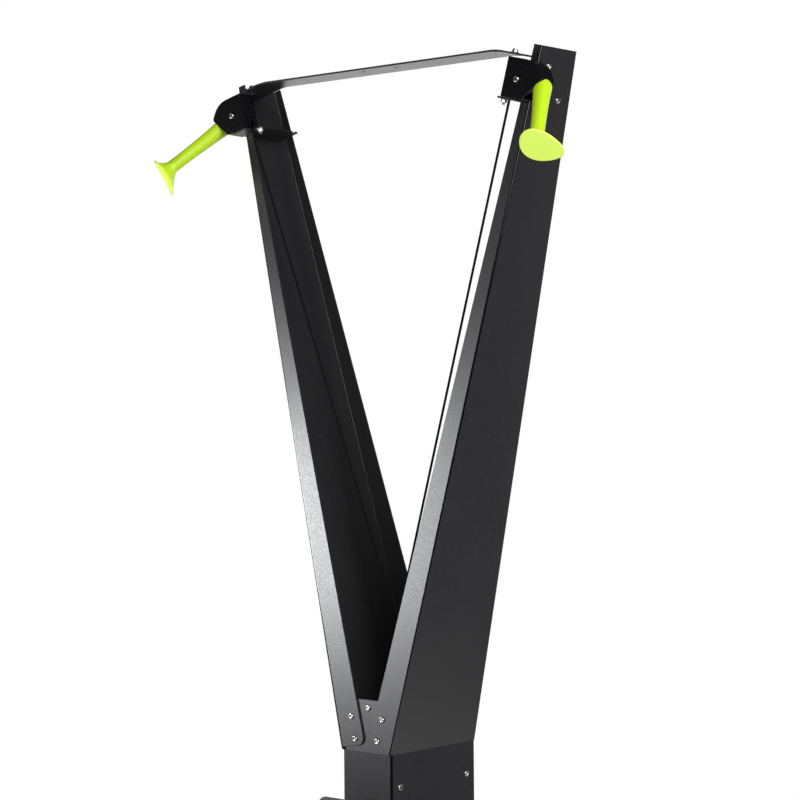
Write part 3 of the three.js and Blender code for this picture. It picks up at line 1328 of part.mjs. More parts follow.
const trayTop = footHeight + trayHeight;

/** The tray: a folded sheet with skirts, open below, and ears for the wheels. */
function traySolid() {
  const outline = roundRectangle(-baseHalfWidth, baseHalfWidth, -baseHalfLength, trayBack, trayCorner);
  const inner = roundRectangle(-baseHalfWidth + sheet, baseHalfWidth - sheet, -baseHalfLength + sheet,
    trayBack - sheet, trayCorner - sheet);
  const skirt = extruded(outline, 'z', footHeight, trayTop);
  const hollow = extruded(inner, 'z', footHeight - overrun, trayTop - sheet);
  const axleY = baseHalfLength - wheelRadius;
  const axleZ = wheelRadius + wheelFloorGap;
  const ears = [-1, 1].flatMap((sign) => [-1, 1].map((edge) => {
    const near = sign * wheelX + edge * (wheelWidth / 2 + wheelEarGap);
    const far = near + edge * wheelEar;
    return block(Math.min(near, far), Math.max(near, far), trayBack - sheet, axleY + 2 * axleRadius,
      axleZ - axleRadius * 2, axleZ + axleRadius * 2);
  }));
  const axles = [-1, 1].map((sign) => bar(axleRadius, 'x', sign * wheelX - wheelWidth / 2 - wheelEarGap - wheelEar,
    sign * wheelX + wheelWidth / 2 + wheelEarGap + wheelEar, [0, axleY, axleZ], 24));
  const notch = [-1, 1].map((sign) => block(sign * wheelX - wheelWidth / 2 - wheelEarGap,
    sign * wheelX + wheelWidth / 2 + wheelEarGap, axleY - wheelRadius - wheelEarGap, trayBack + overrun,
    footHeight - overrun, axleZ + wheelRadius + wheelEarGap));
  const drill = (x, y) => bar(footBoltRadius, 'z', footHeight, trayTop + overrun, [x, y, 0], 16);
  const bolts = [-1, 1].flatMap((sign) => [
    frontPlaneY + columnInset - footPlateFront + footBoltInset,
    frontPlaneY + columnBackY + footPlateBack - footBoltInset,
  ].map((y) => drill(sign * (footPlateHalfWidth - footBoltInset), y)));
  const shell = skirt.subtract(joined([hollow, ...notch, ...bolts]));
  return joined([shell, ...ears, ...axles]);
}
piece(object, 'base_tray', traySolid(), charcoal);

/** The channel welded under the tray below the column. */
function stiffenerSolid() {
  const middle = frontPlaneY + (columnInset + columnBackY) / 2;
  const under = trayTop - sheet;
  const low = under - stiffenerHeight;
  const outer = block(-stiffenerHalfWidth, stiffenerHalfWidth, middle - stiffenerDepth, middle + stiffenerDepth, low, under);
  const hollow = block(-stiffenerHalfWidth - overrun, stiffenerHalfWidth + overrun, middle - stiffenerDepth + sheet,
    middle + stiffenerDepth - sheet, low + sheet, under + overrun);
  return outer.subtract(hollow);
}
piece(object, 'base_stiffener', stiffenerSolid(), charcoal);

/** The rubber mat that the user stands on, with cross ribs. */
function matSolid() {
  const half = baseHalfWidth - matInset;
  const front = -baseHalfLength + matInset;
  const body = extruded(roundRectangle(-half, half, front, matBack, trayCorner), 'z', trayTop, trayTop + matThickness);
  const count = Math.floor((matBack - front - 2 * trayCorner) / matRibPitch);
  const ribs = Array.from({ length: count }, (_, i) => {
    const y = front + trayCorner + (i + 0.5) * matRibPitch;
    return block(-half + trayCorner, half - trayCorner, y - matRibWidth / 2, y + matRibWidth / 2,
      trayTop + matThickness / 2, trayTop + matThickness + matRibHeight);
  });
  return joined([body, ...ribs]);
}
piece(object, 'deck_mat', matSolid(), rubber);

const padProfile = [
  [0, 0], [footRadius, 0], [footRadius, footHeight - seatGap], [studRadius, footHeight - seatGap],
  [studRadius, trayTop - sheet], [0, trayTop - sheet],
];
const pad = turned(padProfile, 'z');
for (const [end, y] of [['front', -baseHalfLength + footInset], ['rear', trayBack - footInset]]) {
  for (const [name, sign] of [['left', -1], ['right', 1]]) {
    const group = placed(object, sign * (baseHalfWidth - footInset), y, 0);
    piece(group, `${end}_${name}_foot`, pad, rubber);
  }
}

const wheel = turned([
  [wheelBore, -wheelWidth / 2], [wheelRadius - sheet, -wheelWidth / 2], [wheelRadius, -wheelWidth / 2 + sheet],
  [wheelRadius, wheelWidth / 2 - sheet], [wheelRadius - sheet, wheelWidth / 2], [wheelBore, wheelWidth / 2],
  [wheelBore, -wheelWidth / 2],
], 'x', [0, 0, 0], 20);
for (const [name, sign] of [['left', -1], ['right', 1]]) {
  const group = placed(object, sign * wheelX, baseHalfLength - wheelRadius, wheelRadius + wheelFloorGap);
  piece(group, `${name}_transport_wheel`, wheel, rubber);
}

export default object;
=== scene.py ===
"""Looks of a ski trainer: finishes, rounded edges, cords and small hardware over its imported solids.

Lengths are in metres, +Z up, with the user on the -Y side. The origin is on the floor, in the middle of the platform.
"""

import json
import math

import bmesh
import bpy
import numpy as np
from bpy.props import FloatProperty, FloatVectorProperty, IntProperty, PointerProperty
from mathutils import Matrix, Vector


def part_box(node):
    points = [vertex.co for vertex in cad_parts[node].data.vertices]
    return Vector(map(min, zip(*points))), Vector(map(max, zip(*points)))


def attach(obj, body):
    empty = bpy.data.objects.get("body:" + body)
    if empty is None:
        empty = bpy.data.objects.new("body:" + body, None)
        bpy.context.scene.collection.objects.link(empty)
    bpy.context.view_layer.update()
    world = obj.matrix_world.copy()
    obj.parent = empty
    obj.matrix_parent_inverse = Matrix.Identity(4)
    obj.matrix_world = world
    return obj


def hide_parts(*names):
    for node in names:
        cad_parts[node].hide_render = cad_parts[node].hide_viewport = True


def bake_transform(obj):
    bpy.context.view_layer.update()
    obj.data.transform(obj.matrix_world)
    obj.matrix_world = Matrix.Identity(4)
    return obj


bl_info = {
    "name": "Ski trainer looks",
    "version": (1, 0, 0),
    "blender": (4, 5, 0),
    "location": "View3D > Sidebar > Trainer",
    "description": "Dresses a ski trainer's solids with finishes, edges, cords and fasteners",
    "category": "Object",
}

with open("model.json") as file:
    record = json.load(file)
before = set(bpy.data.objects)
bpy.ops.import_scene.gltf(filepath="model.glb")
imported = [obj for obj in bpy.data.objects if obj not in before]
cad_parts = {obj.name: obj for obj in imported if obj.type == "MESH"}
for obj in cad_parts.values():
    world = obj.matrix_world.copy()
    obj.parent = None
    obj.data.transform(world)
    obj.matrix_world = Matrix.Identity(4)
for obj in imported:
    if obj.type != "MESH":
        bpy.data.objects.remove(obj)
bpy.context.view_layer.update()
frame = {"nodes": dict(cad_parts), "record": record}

TURN = 2.0 * math.pi
UP = (0.0, 0.0, 1.0)
SIDES = {"right": 1.0, "left": -1.0}

# The driving sizes of the frame, as in the solids. The seam is where the arms stand on the column.
SEAM = np.array([0.0, 0.22, 1.05])
FOOT_HALF_WIDTH = 0.052
TOP_HALF_WIDTH = 0.328
ARM_SPREAD = TOP_HALF_WIDTH - FOOT_HALF_WIDTH
ARM_RISE = 1.098
ARM_TOP_FRONT = 0.0473
ARM_FOOT_DEPTH = 0.211
ARM_TOP_DEPTH = 0.0893
ARM_BACK_NORMAL = (0.0, 1.0, 0.07)
SHEET = 0.003
COLUMN_FRONT = 0.0033
STRAP_BEND_X = 0.254
BOX_BOTTOM = 0.029
BOX_SHELF_GAP = 0.0003

# Pulleys, cords and fan. Places across, up and back are counted from the seam.
PULLEY_PITCH = 0.019
PULLEY_RIM = 0.0218
CORD_RADIUS = 0.002
GUIDE_X = 0.026
GUIDE_RISE = 0.085
GUIDE_PLANES = {"right": 0.0936, "left": 0.076}
FAN_AXIS_Y = 0.018
FAN_DROP = 0.43
DRUM_X = 0.0305
DRUM_PITCH = 0.030

# Handles: sizes, the way down each grip, and the long way of each palm disc
HEAD_RADIUS = 0.0146
HEAD_CLEARANCE = 0.0005
GRIP_SKIN = 0.0002
HANDLE_LENGTH = 0.131
KNOT_RADIUS = 0.005
KNOT_BRAID = 40.0
GRIP_DOWN = {"right": (0.3617, -0.597, -0.722), "left": (-0.4954, -0.62, -0.617)}
DISC_ALONG = {"right": (0.769, 0.623, -0.142), "left": (0.736, 0.093, -0.67)}

# Fasteners: places across and up on the arms' feet, back and up on the arms' and the column's sides, across and
# back on the strap, and outwards and back under a pulley box
FOOT_SCREWS = ((0.024, 0.020), (0.033, 0.055))
ARM_SIDE_SCREWS = ((0.073, 1.069), (0.1107, 1.0215))
COLUMN_SIDE_SCREWS = ((0.0233, -0.053), (0.188, -0.053))
TONGUE_SCREW_RISE = 0.071
STRAP_SCREW = (0.284, 0.037)
STRAP_SEAT = 0.0002
HANGING_SCREW = (-0.036, 0.0085)
WASHER_THICKNESS = 0.0009
HEAD_STEPS = 36
COPY_TURN = 0.6

# Profiles of turned pieces, as (radius, place along the axis) from one end or from the bore
BOLT_HEAD_PLACE = -0.0165
BOLT_PROFILE = (
    (0.0, BOLT_HEAD_PLACE), (0.004, BOLT_HEAD_PLACE), (0.004, -0.0139), (0.007, -0.0139), (0.007, -0.0088),
    (0.004, -0.0088), (0.004, 0.0088), (0.007, 0.0088), (0.007, 0.0136), (0.004, 0.0136), (0.004, 0.0156),
    (0.0, 0.0156),
)
PULLEY_HALF = (
    (0.0044, 0.0085), (0.007, 0.0085), (0.007, 0.0075), (PULLEY_RIM, 0.0075), (PULLEY_RIM, 0.0075 - 0.0011),
    (PULLEY_PITCH - CORD_RADIUS - 0.0003, 0.0023),
)
TYRE_HALF = ((0.0064, -0.011), (0.019, -0.011), (0.019, -0.009), (0.0245, -0.009), (0.0245, -0.011), (0.03, -0.011))
FOOT_PROFILE = ((0.0, 0.0), (0.022, 0.0), (0.022, 0.0177), (0.006, 0.0177), (0.006, 0.055), (0.0, 0.055))
CAP_HALF_DEPTH = 0.0015
CAP_PROFILE = ((0.0, 0.0), (0.031, 0.0), (0.031, 0.003), (0.027, 0.003), (0.0255, 0.0021), (0.0, 0.0021))

# The photograph's camera, fitted to the leaning arms, and what the lamps point at
CAMERA_PLACE = (2.36478, -2.37135, 1.61539)
CAMERA_FORWARD = (-0.66162575, 0.7498337, -0.00089012)
CAMERA_RIGHT = (0.74981868, 0.66160392, -0.0072256)
SENSOR_WIDTH = 36.0
LAMP_TARGET = np.array([0.0, 0.2, 1.45])


def lengths(vectors):
    """The length of each of several vectors, as a column."""
    return np.linalg.norm(vectors, axis=1, keepdims=True)


def unit(vector):
    """A vector over its own length."""
    vector = np.asarray(vector, float)
    return vector / np.linalg.norm(vector)


def front_plane(z):
    """Depth of the arms' front plane at a height above the seam: it leans back at a steady slope."""
    return ARM_TOP_FRONT * z / ARM_RISE


def web_half_width(z):
    """Half the distance between the arms' outer faces, which grows at a steady slope."""
    return FOOT_HALF_WIDTH + ARM_SPREAD * z / ARM_RISE


def box_axes(side):
    """Outward, backward and upward axes of a pulley box, which leans with its arm."""
    lean = math.atan(ARM_TOP_FRONT / ARM_RISE)
    normal = np.array([0.0, math.cos(lean), -math.sin(lean)])
    arm = unit([ARM_SPREAD, ARM_TOP_FRONT, ARM_RISE])
    mirror = np.array([SIDES[side], 1.0, 1.0])
    return np.array([np.cross(normal, arm) * mirror, normal, arm * mirror])


def centre_of(node):
    """Middle of a solid's box."""
    low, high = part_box(node)
    return np.array((low + high) / 2)


def in_box(side, points):
    """Points given in a pulley box's own axes, from the pulley's middle, moved to the machine."""
    return centre_of(f"{side}_top_pulley") + np.asarray(points, float) @ box_axes(side)


# -------- shader maths


class Value:
    """A number in a node tree. Sums, differences and products of it add Math nodes."""

    def __init__(self, nodes, socket):
        self.nodes = nodes
        self.socket = socket

    def maths(self, operation, *operands):
        return self.nodes.add("ShaderNodeMath", {"operation": operation}, dict(enumerate(operands)))

    def __add__(self, other):
        return self.maths("ADD", self, other)

    def __sub__(self, other):
        return self.maths("SUBTRACT", self, other)

    def __rsub__(self, other):
        return self.maths("SUBTRACT", other, self)

    def __mul__(self, other):
        return self.maths("MULTIPLY", self, other)

    __radd__ = __add__
    __rmul__ = __mul__

    def sine(self):
        return self.maths("SINE", self)

    def absolute(self):
        return self.maths("ABSOLUTE", self)

    def higher(self, other):
        return self.maths("MAXIMUM", self, other)

    def swing(self, amount):
        """The value about its middle, one half, times an amount."""
        return (self - 0.5) * amount

    def between(self, low, high):
        """0 below low, 1 above high, and a smooth rise from one to the other."""
        settings = {"interpolation_type": "SMOOTHSTEP"}
        return self.nodes.add("ShaderNodeMapRange", settings, {"Value": self, "From Min": low, "From Max": high})


class NodeTree:
    """The nodes of a material, or of the light from all round."""

    def __init__(self, tree):
        self.tree = tree
        self.tree.nodes.clear()

    def put(self, node, sockets):
        """Sets a node's sockets, or links what is itself a value of the tree."""
        for key, value in sockets.items():
            socket = node.inputs[key]
            if isinstance(value, Value):
                self.tree.links.new(value.socket, socket)
            else:
                socket.default_value = value

    def add(self, kind, settings, sockets, output=0):
        """Adds a node of that type with its settings, then its sockets, and gives an output, or itself for None."""
        node = self.tree.nodes.new(kind)
        for key, value in settings.items():
            setattr(node, key, value)
        self.put(node, sockets)
        return node if output is None else Value(self, node.outputs[output])


class Finish(NodeTree):
    """A material that is built up node by node around one Principled shader."""

    def __init__(self, name, **sockets):
        self.material = bpy.data.materials.new(name)
        self.material.use_nodes = True
        super().__init__(self.material.node_tree)
        self.shader = self.add("ShaderNodeBsdfPrincipled", {}, {}, None)
        self.add("ShaderNodeOutputMaterial", {}, {"Surface": Value(self, self.shader.outputs[0])}, None)
        self.place = self.add("ShaderNodeTexCoord", {}, {}, "Object")
        self.done(**sockets)

    def parts(self, vector):
        """The three numbers of a vector or colour."""
        split = self.add("ShaderNodeSeparateXYZ", {}, {"Vector": vector}, None)
        return [Value(self, output) for output in split.outputs]

    def noise(self, scale, detail=2.0, place=None):
        """Noise over the surface, from 0 to 1, with scale features to the metre."""
        return self.add("ShaderNodeTexNoise", {}, {"Vector": place or self.place, "Scale": scale, "Detail": detail})

    def stretched(self, x, y, z):
        """The surface's place with each axis multiplied, for a pattern drawn out along one way."""
        return self.add("ShaderNodeMapping", {}, {"Vector": self.place, "Scale": (x, y, z)})

    def blend(self, share, first, second):
        """A colour between two others. The Mix node's colours are its sockets 6 and 7, and its output 2."""
        return self.add("ShaderNodeMix", {"data_type": "RGBA"}, {"Factor": share, 6: first, 7: second}, 2)

    def bumps(self, height, depth, strength=1.0, over=None):
        """A surface raised by height times depth, in metres, on top of another such surface if there is one."""
        sockets = {"Height": height, "Distance": depth, "Strength": strength}
        if over is not None:
            sockets["Normal"] = over
        return self.add("ShaderNodeBump", {}, sockets)

    def done(self, **sockets):
        """Sets or links the shader's sockets, with _ for a space in their names, and gives the material."""
        self.put(self.shader, {key.replace("_", " "): value for key, value in sockets.items()})
        return self.material


def shade(color, factor):
    """A colour made lighter or darker."""
    return (*(min(1.0, part * factor) for part in color[:3]), 1.0)


def powder_coat(name, color, roughness, shine=0.5):
    """Satin powder coat: a fine orange-peel grain, slow changes of tone and gloss, smoother on a fold, whose faces
    also get a dark line of painted shade.
    """
    finish = Finish(name, Roughness=roughness, Specular_IOR_Level=shine)
    fold = finish.add("ShaderNodeAttribute", {"attribute_name": "fold"}, {}, "Fac")
    grain = finish.noise(scale=900.0)
    peel = finish.noise(scale=300.0, detail=3.0)
    drift = finish.noise(scale=4.0, detail=4.0)
    tone = finish.blend(drift, shade(color, 0.84), shade(color, 1.18))
    specks_and_fold_shade = finish.blend(grain.between(0.58, 0.72), tone, shade(color, 2.4))
    # Painted shade: the faces of each rounded fold are darkened to a dark line
    specks_and_fold_shade = finish.blend(fold, specks_and_fold_shade, shade(color, 0.15))
    gloss = roughness + peel.swing(0.14) + grain.swing(0.1) + drift.swing(0.07) - fold * 0.19
    relief = finish.bumps(grain, depth=0.00003, strength=0.6, over=finish.bumps(peel, depth=0.00006, strength=0.6))
    return finish.done(Base_Color=specks_and_fold_shade, Roughness=gloss, Normal=relief)


def moulded_plastic(name, color, roughness, grain_scale, grain_depth):
    """Moulded plastic: a fine spark-eroded grain and a faint cloudiness of colour."""
    finish = Finish(name, Roughness=roughness)
    grain = finish.noise(grain_scale, detail=3.0)
    cloud = finish.noise(scale=18.0, detail=3.0)
    tone = finish.blend(cloud, shade(color, 0.9), shade(color, 1.1))
    relief = finish.bumps(grain, grain_depth, strength=0.6)
    return finish.done(Base_Color=tone, Roughness=roughness + grain.swing(0.18), Normal=relief)


def lime_plastic(color, pale):
    """Lime green handle moulding: satin skin, a paler green on the palm discs that is a painted sheen, and fine
    handling marks.
    """
    finish = Finish("lime_plastic", Roughness=0.4, Specular_IOR_Level=0.4)
    disc_sheen = finish.parts(finish.add("ShaderNodeUVMap", {"uv_map": "along"}, {}))[0]
    cloud = finish.noise(scale=26.0, detail=4.0)
    skin = finish.noise(scale=1600.0)
    scuff = finish.noise(scale=90.0, detail=8.0, place=finish.stretched(1.0, 1.0, 0.3)).between(0.62, 0.8)
    tone = finish.blend(cloud, shade(color, 0.94), shade(color, 1.07))
    # Painted sheen: the palm disc is coloured a paler green, standing in for the bright light that its face catches
    tone = finish.blend(disc_sheen.between(0.35, 1.0), tone, pale)
    relief = finish.bumps(skin, depth=0.00002, strength=0.5)
    return finish.done(Base_Color=tone, Roughness=0.4 + skin * 0.08 + scuff * 0.12, Normal=relief)


def bright_metal(name, color, roughness):
    """Bright metal with fine drawn lines and a few dull patches."""
    finish = Finish(name, Roughness=roughness, Metallic=1.0)
    lines = finish.noise(scale=160.0, detail=4.0, place=finish.stretched(9.0, 9.0, 1.0))
    patch = finish.noise(scale=34.0, detail=3.0)
    tone = finish.blend(patch, shade(color, 0.82), shade(color, 1.1))
    relief = finish.bumps(lines, depth=0.00003, strength=0.5)
    return finish.done(Base_Color=tone, Roughness=roughness + lines.swing(0.2) + patch.swing(0.14), Normal=relief)


def pebbled_rubber(name, color, scale):
    """Matt rubber with a pebbled skin and a little dust in patches."""
    finish = Finish(name, Roughness=0.8)
    pebble = finish.noise(scale, detail=3.0)
    dust = finish.noise(scale=12.0, detail=6.0).between(0.5, 0.85)
    tone = finish.blend(dust * 0.35, color, shade(color, 5.0))
    relief = finish.bumps(pebble, depth=0.0002, strength=0.7)
    return finish.done(Base_Color=tone, Roughness=0.72 + pebble * 0.16, Normal=relief)


def braided_cord(color, strands_along=300.0, strands_around=4.0):
    """Tight braid: two sets of strands that cross along the cord's own length and girth."""
    finish = Finish("braided_cord", Roughness=0.75, Specular_IOR_Level=0.06)
    along, around, _ = finish.parts(finish.add("ShaderNodeUVMap", {"uv_map": "along"}, {}))
    one = (along * (TURN * strands_along) + around * (TURN * strands_around)).sine()
    other = (along * (TURN * strands_along) - around * (TURN * strands_around)).sine()
    strands = one.absolute().higher(other.absolute())
    tone = finish.blend(strands, shade(color, 0.5), shade(color, 2.4))
    relief = finish.bumps(strands, depth=0.0003, strength=0.8)
    return finish.done(Base_Color=tone, Roughness=0.85 - strands * 0.2, Normal=relief)


def display_window(color, cells_per_metre=400.0):
    """Dark clear window over a blank display: smooth, with a very faint grid of cells below it."""
    finish = Finish("display_window", Roughness=0.1, Coat_Weight=0.5, Coat_Roughness=0.03)
    across, _, up = finish.parts(finish.place)
    waves = [(way * (TURN * cells_per_metre)).sine() for way in (across, up)]
    cells = waves[0].higher(waves[1]).between(0.9, 1.0)
    return finish.done(Base_Color=finish.blend(cells, color, shade(color, 1.6)))


def floor_paint(dark, light):
    """Pale matt floor, faintly uneven in tone."""
    finish = Finish("studio_floor", Roughness=0.7)
    return finish.done(Base_Color=finish.blend(finish.noise(scale=30.0, detail=5.0), dark, light))


# -------- surfaces


def grid_faces(rows, columns, wrap_rows=False, wrap_columns=False):
    """Four corners of each cell of a grid of points. Wrapping joins the last row or column to the first."""
    row = np.arange(rows if wrap_rows else rows - 1)
    column = np.arange(columns if wrap_columns else columns - 1)
    i, j = np.meshgrid(row, column, indexing="ij")
    below, right = (i + 1) % rows, (j + 1) % columns
    corners = [i * columns + j, below * columns + j, below * columns + right, i * columns + right]
    return np.stack(corners, -1).reshape(-1, 4)


def steps_round(count):
    """Angles at even steps round a full turn."""
    return np.linspace(0.0, TURN, count, endpoint=False)


def mesh_piece(name, parts, look, body, nodes=(), smooth=40.0, weld=1e-6, uv=None):
    """One object from several (points, faces) surfaces, welded, closed and facing outwards."""
    offset = 0
    points, faces = [], []
    for part_points, part_faces in parts:
        points.append(part_points)
        faces.extend((part_faces + offset).tolist())
        offset += len(part_points)
    mesh = bpy.data.meshes.new(name)
    mesh.from_pydata(np.concatenate(points), [], faces)
    if uv is not None:
        layer = mesh.uv_layers.new(name="along")
        corner = np.empty(len(mesh.loops), np.int32)
        mesh.loops.foreach_get("vertex_index", corner)
        layer.data.foreach_set("uv", np.asarray(uv, np.float32)[corner].ravel())
    work = bmesh.new()
    work.from_mesh(mesh)
    bmesh.ops.remove_doubles(work, verts=work.verts, dist=weld)
    bmesh.ops.recalc_face_normals(work, faces=work.faces)
    work.to_mesh(mesh)
    work.free()
    return show(name, mesh, look, body, nodes, smooth)


def settle_normals(mesh, limit, flat_limit=math.radians(0.5)):
    """Corner normals that leave large flat faces flat and shade small faces round.

    At each corner, the normals of the faces round its vertex that lean less than the limit from its own face are
    added up, each weighted by the square of its face's area. A face whose corners all stay within the flat limit
    of its own normal is left flat.
    """
    corners, sides = len(mesh.loops), len(mesh.polygons)
    vertex, total = np.empty(corners, np.int32), np.empty(sides, np.int32)
    normal, area = np.empty(sides * 3), np.empty(sides)
    mesh.loops.foreach_get("vertex_index", vertex)
    mesh.polygons.foreach_get("loop_total", total)
    mesh.polygons.foreach_get("normal", normal)
    mesh.polygons.foreach_get("area", area)
    normal = normal.reshape(-1, 3)
    owner = np.repeat(np.arange(sides), total)
    # Every pair of corners that share a vertex, as here and there
    order = np.argsort(vertex, kind="stable")
    sizes = np.bincount(vertex, minlength=len(mesh.vertices))
    shared = sizes[vertex]
    here = np.repeat(np.arange(corners), shared)
    step = np.arange(len(here)) - np.repeat(np.cumsum(shared) - shared, shared)
    there = order[np.repeat((np.cumsum(sizes) - sizes)[vertex], shared) + step]
    own, other = normal[owner[here]], normal[owner[there]]
    near = np.einsum("ij,ij->i", own, other) > math.cos(limit)
    weight = np.where(near, area[owner[there]] ** 2 + 1e-24, 0.0)
    summed = np.stack([np.bincount(here, weight * other[:, k], corners) for k in range(3)], -1)
    length = lengths(summed)
    summed = np.where(length > 0.0, summed / np.maximum(length, 1e-300), normal[owner])
    kept = np.einsum("ij,ij->i", summed, normal[owner]) > math.cos(flat_limit)
    flat = np.bincount(owner, ~kept, sides) == 0
    summed = np.where(flat[owner][:, None], normal[owner], summed)
    mesh.polygons.foreach_set("use_smooth", ~flat)
    mesh.normals_split_custom_set(summed.tolist())


def show(name, mesh, look, body, nodes=(), smooth=40.0):
    """Puts a mesh in the scene with its finish, smooth but for its sharp edges, on the body that it moves with."""
    mesh.materials.clear()
    mesh.materials.append(finish_named(look))
    mesh.shade_smooth()
    settle_normals(mesh, math.radians(smooth))
    piece = bpy.data.objects.new(name, mesh)
    bpy.context.scene.collection.objects.link(piece)
    if body:
        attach(piece, body)
    if nodes:
        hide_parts(*nodes)
    return piece


def body_of_node(node):
    """The body that a solid belongs to."""
    bodies = frame["record"]["behaviour"]["bodies"]
    return next(body for body, members in bodies.items() if node in members)


def creases(work, low, high=math.inf, length=0.0):
    """Edges at least as long as a length whose two faces lean from each other by between low and high degrees."""
    low, high = math.radians(low), math.radians(high)
    return [
        e for e in work.edges
        if len(e.link_faces) == 2 and low < e.calc_face_angle(0.0) < high and e.calc_length() >= length
    ]


def round_off(work, edges, reach, segments):
    """Bevels edges to arcs that start at a reach to either side, and gives the new faces."""
    return bmesh.ops.bevel(
        work, geom=edges, offset=reach, segments=segments, profile=0.5, affect="EDGES", clamp_overlap=True
    )["faces"]


def finished_copy(node, look, edge, bend=0.0, sweep=0.0, least_flange=0.004):
    """A copy of a solid with its flat faces made whole, its folds rounded and its other edges broken.

    A bend is the outer radius of the folds between two faces larger than the least flange, and its new faces are
    marked for the coat, which paints shade on them as a dark line. A sweep rounds the long shallow bends, between
    faces that lean 8 to 25 degrees apart.
    """
    mesh = frame["nodes"][node].data.copy()
    work = bmesh.new()
    work.from_mesh(mesh)
    bmesh.ops.remove_doubles(work, verts=work.verts, dist=1e-6)
    flat = math.radians(0.4)
    bmesh.ops.dissolve_limit(work, angle_limit=flat, verts=work.verts, edges=work.edges, delimit=set())
    if sweep:
        round_off(work, creases(work, 8, 25, length=0.04), sweep, 10)
    if bend:
        folds = [
            e for e in creases(work, 50, length=0.06) if min(f.calc_area() for f in e.link_faces) > least_flange
        ]
        # Fold faces are marked here so that the coat paints a dark line of shade on them
        fold_shade_mark = work.faces.layers.float.new("fold")
        for radius, convex in ((bend, True), (bend - SHEET, False)):
            alike = [e for e in folds if e.is_valid and e.is_convex == convex]
            if alike and radius > 0.0:
                for face in round_off(work, alike, radius, 6):
                    face[fold_shade_mark] = 1.0
    if edge:
        round_off(work, creases(work, 40), edge, 2)
    work.to_mesh(mesh)
    work.free()
    return show(f"{node}_finished", mesh, look, body_of_node(node), [node], smooth=50.0)


def cross_axes(axis):
    """Two axes square to a third."""
    axis = unit(axis)
    helper = np.array(UP) if abs(axis[2]) < 0.9 else np.array([1.0, 0.0, 0.0])
    first = unit(np.cross(helper, axis))
    return first, np.cross(axis, first)


def turned(profile, segments, centre=(0.0, 0.0, 0.0), axis=UP):
    """A profile of (radius, distance) carried round an axis: each point becomes a circle of its radius."""
    profile = np.asarray(profile, float)
    first, second = cross_axes(axis)
    angle = steps_round(segments)
    ring = np.cos(angle)[:, None] * first + np.sin(angle)[:, None] * second
    points = centre + profile[:, None, :1] * ring + profile[:, None, 1:] * unit(axis)
    return points.reshape(-1, 3), grid_faces(len(profile), segments, wrap_columns=True)


def eased(profile, radius, steps=3):
    """A profile with its corners cut back by a small arc, each arc a curve through the corner's two sides."""
    profile = np.asarray(profile, float)
    before, corner, after = profile[:-2], profile[1:-1], profile[2:]
    back, ahead = before - corner, after - corner
    back_length, ahead_length = lengths(back), lengths(ahead)
    reach = np.minimum(radius, 0.45 * np.minimum(back_length, ahead_length))
    start, end = corner + back / back_length * reach, corner + ahead / ahead_length * reach
    share = np.linspace(0.0, 1.0, steps + 1)[None, :, None]
    arcs = (1 - share) ** 2 * start[:, None] + 2 * share * (1 - share) * corner[:, None] + share**2 * end[:, None]
    return np.concatenate([profile[:1], arcs.reshape(-1, 2), profile[-1:]])


def ring_profile(half, radius):
    """A ring's profile: one half from its bore outwards, its mirror image back, eased, and its first point again."""
    profile = eased([*half, *((out, -place) for out, place in reversed(half))], radius)
    return np.concatenate([profile, profile[:1]])


def swept(points, radius, sides=12):
    """A round section carried along a path, with its ends closed, and its length and girth as a UV map."""
    points = np.asarray(points, float)
    tangent = np.gradient(points, axis=0)
    tangent /= lengths(tangent)
    across = np.cross(tangent, [0.0, 1.0, 0.0])
    across /= lengths(across)
    other = np.cross(tangent, across)
    angle = np.linspace(0.0, TURN, sides + 1)
    ring = np.cos(angle)[None, :, None] * across[:, None] + np.sin(angle)[None, :, None] * other[:, None]
    surface = points[:, None] + radius * ring
    length = np.concatenate([[0.0], np.cumsum(lengths(np.diff(points, axis=0)))])
    count, columns = surface.shape[:2]
    uv = np.stack(np.broadcast_arrays(length[:, None], np.linspace(0.0, 1.0, columns)[None]), -1)
    caps = np.repeat(points[[0, -1]][:, None], columns, axis=1)
    surface = np.concatenate([caps[:1], surface, caps[1:]])
    uv = np.concatenate([uv[:1], uv, uv[-1:]])
    return surface.reshape(-1, 3), grid_faces(count + 2, columns), uv.reshape(-1, 2)


# -------- fasteners


def hexagon(angle):
    """Distance from a hexagon's middle to its outline at each angle, where its flats are 1 from the middle."""
    sixth = np.pi / 3
    return 1.0 / np.cos((angle + 0.5 * sixth) % sixth - 0.5 * sixth)


def rows_round(radius, height, **wrap):
    """Rows of points round +z: a radius at each step of the turn and a height for each row, and their faces."""
    angle = steps_round(radius.shape[1])
    points = np.stack(np.broadcast_arrays(radius * np.cos(angle), radius * np.sin(angle), height[:, None]), -1)
    return points.reshape(-1, 3), grid_faces(*radius.shape, wrap_columns=True, **wrap)


def screw_surface(radius, height, drive=0.5):
    """Button head: a low dome round a six-sided socket, whose radius follows the flats of a hexagon."""
    across = hexagon(steps_round(HEAD_STEPS))
    share = np.linspace(0.0, 1.0, 6)
    brim = drive * 1.25
    outline = np.ones(HEAD_STEPS)
    radial = np.concatenate([
        np.outer([0.0, drive, drive], across), np.outer(brim + (1.0 - brim) * share, outline),
        np.outer([1.0, 0.0], outline),
    ])
    level = np.concatenate([[0.35, 0.35, 0.97], np.sqrt(1.0 - 0.72 * share**2.4), [0.0, 0.0]])
    return rows_round(radius * radial, height * level)


def washer_surface(radius, thickness):
    """Flat washer: a thin turned disc with a rounded rim, closed on its axis."""
    profile = eased([(0.0, 0.0), (radius, 0.0), (radius, thickness), (0.0, thickness)], thickness * 0.4)
    return turned(profile, HEAD_STEPS)


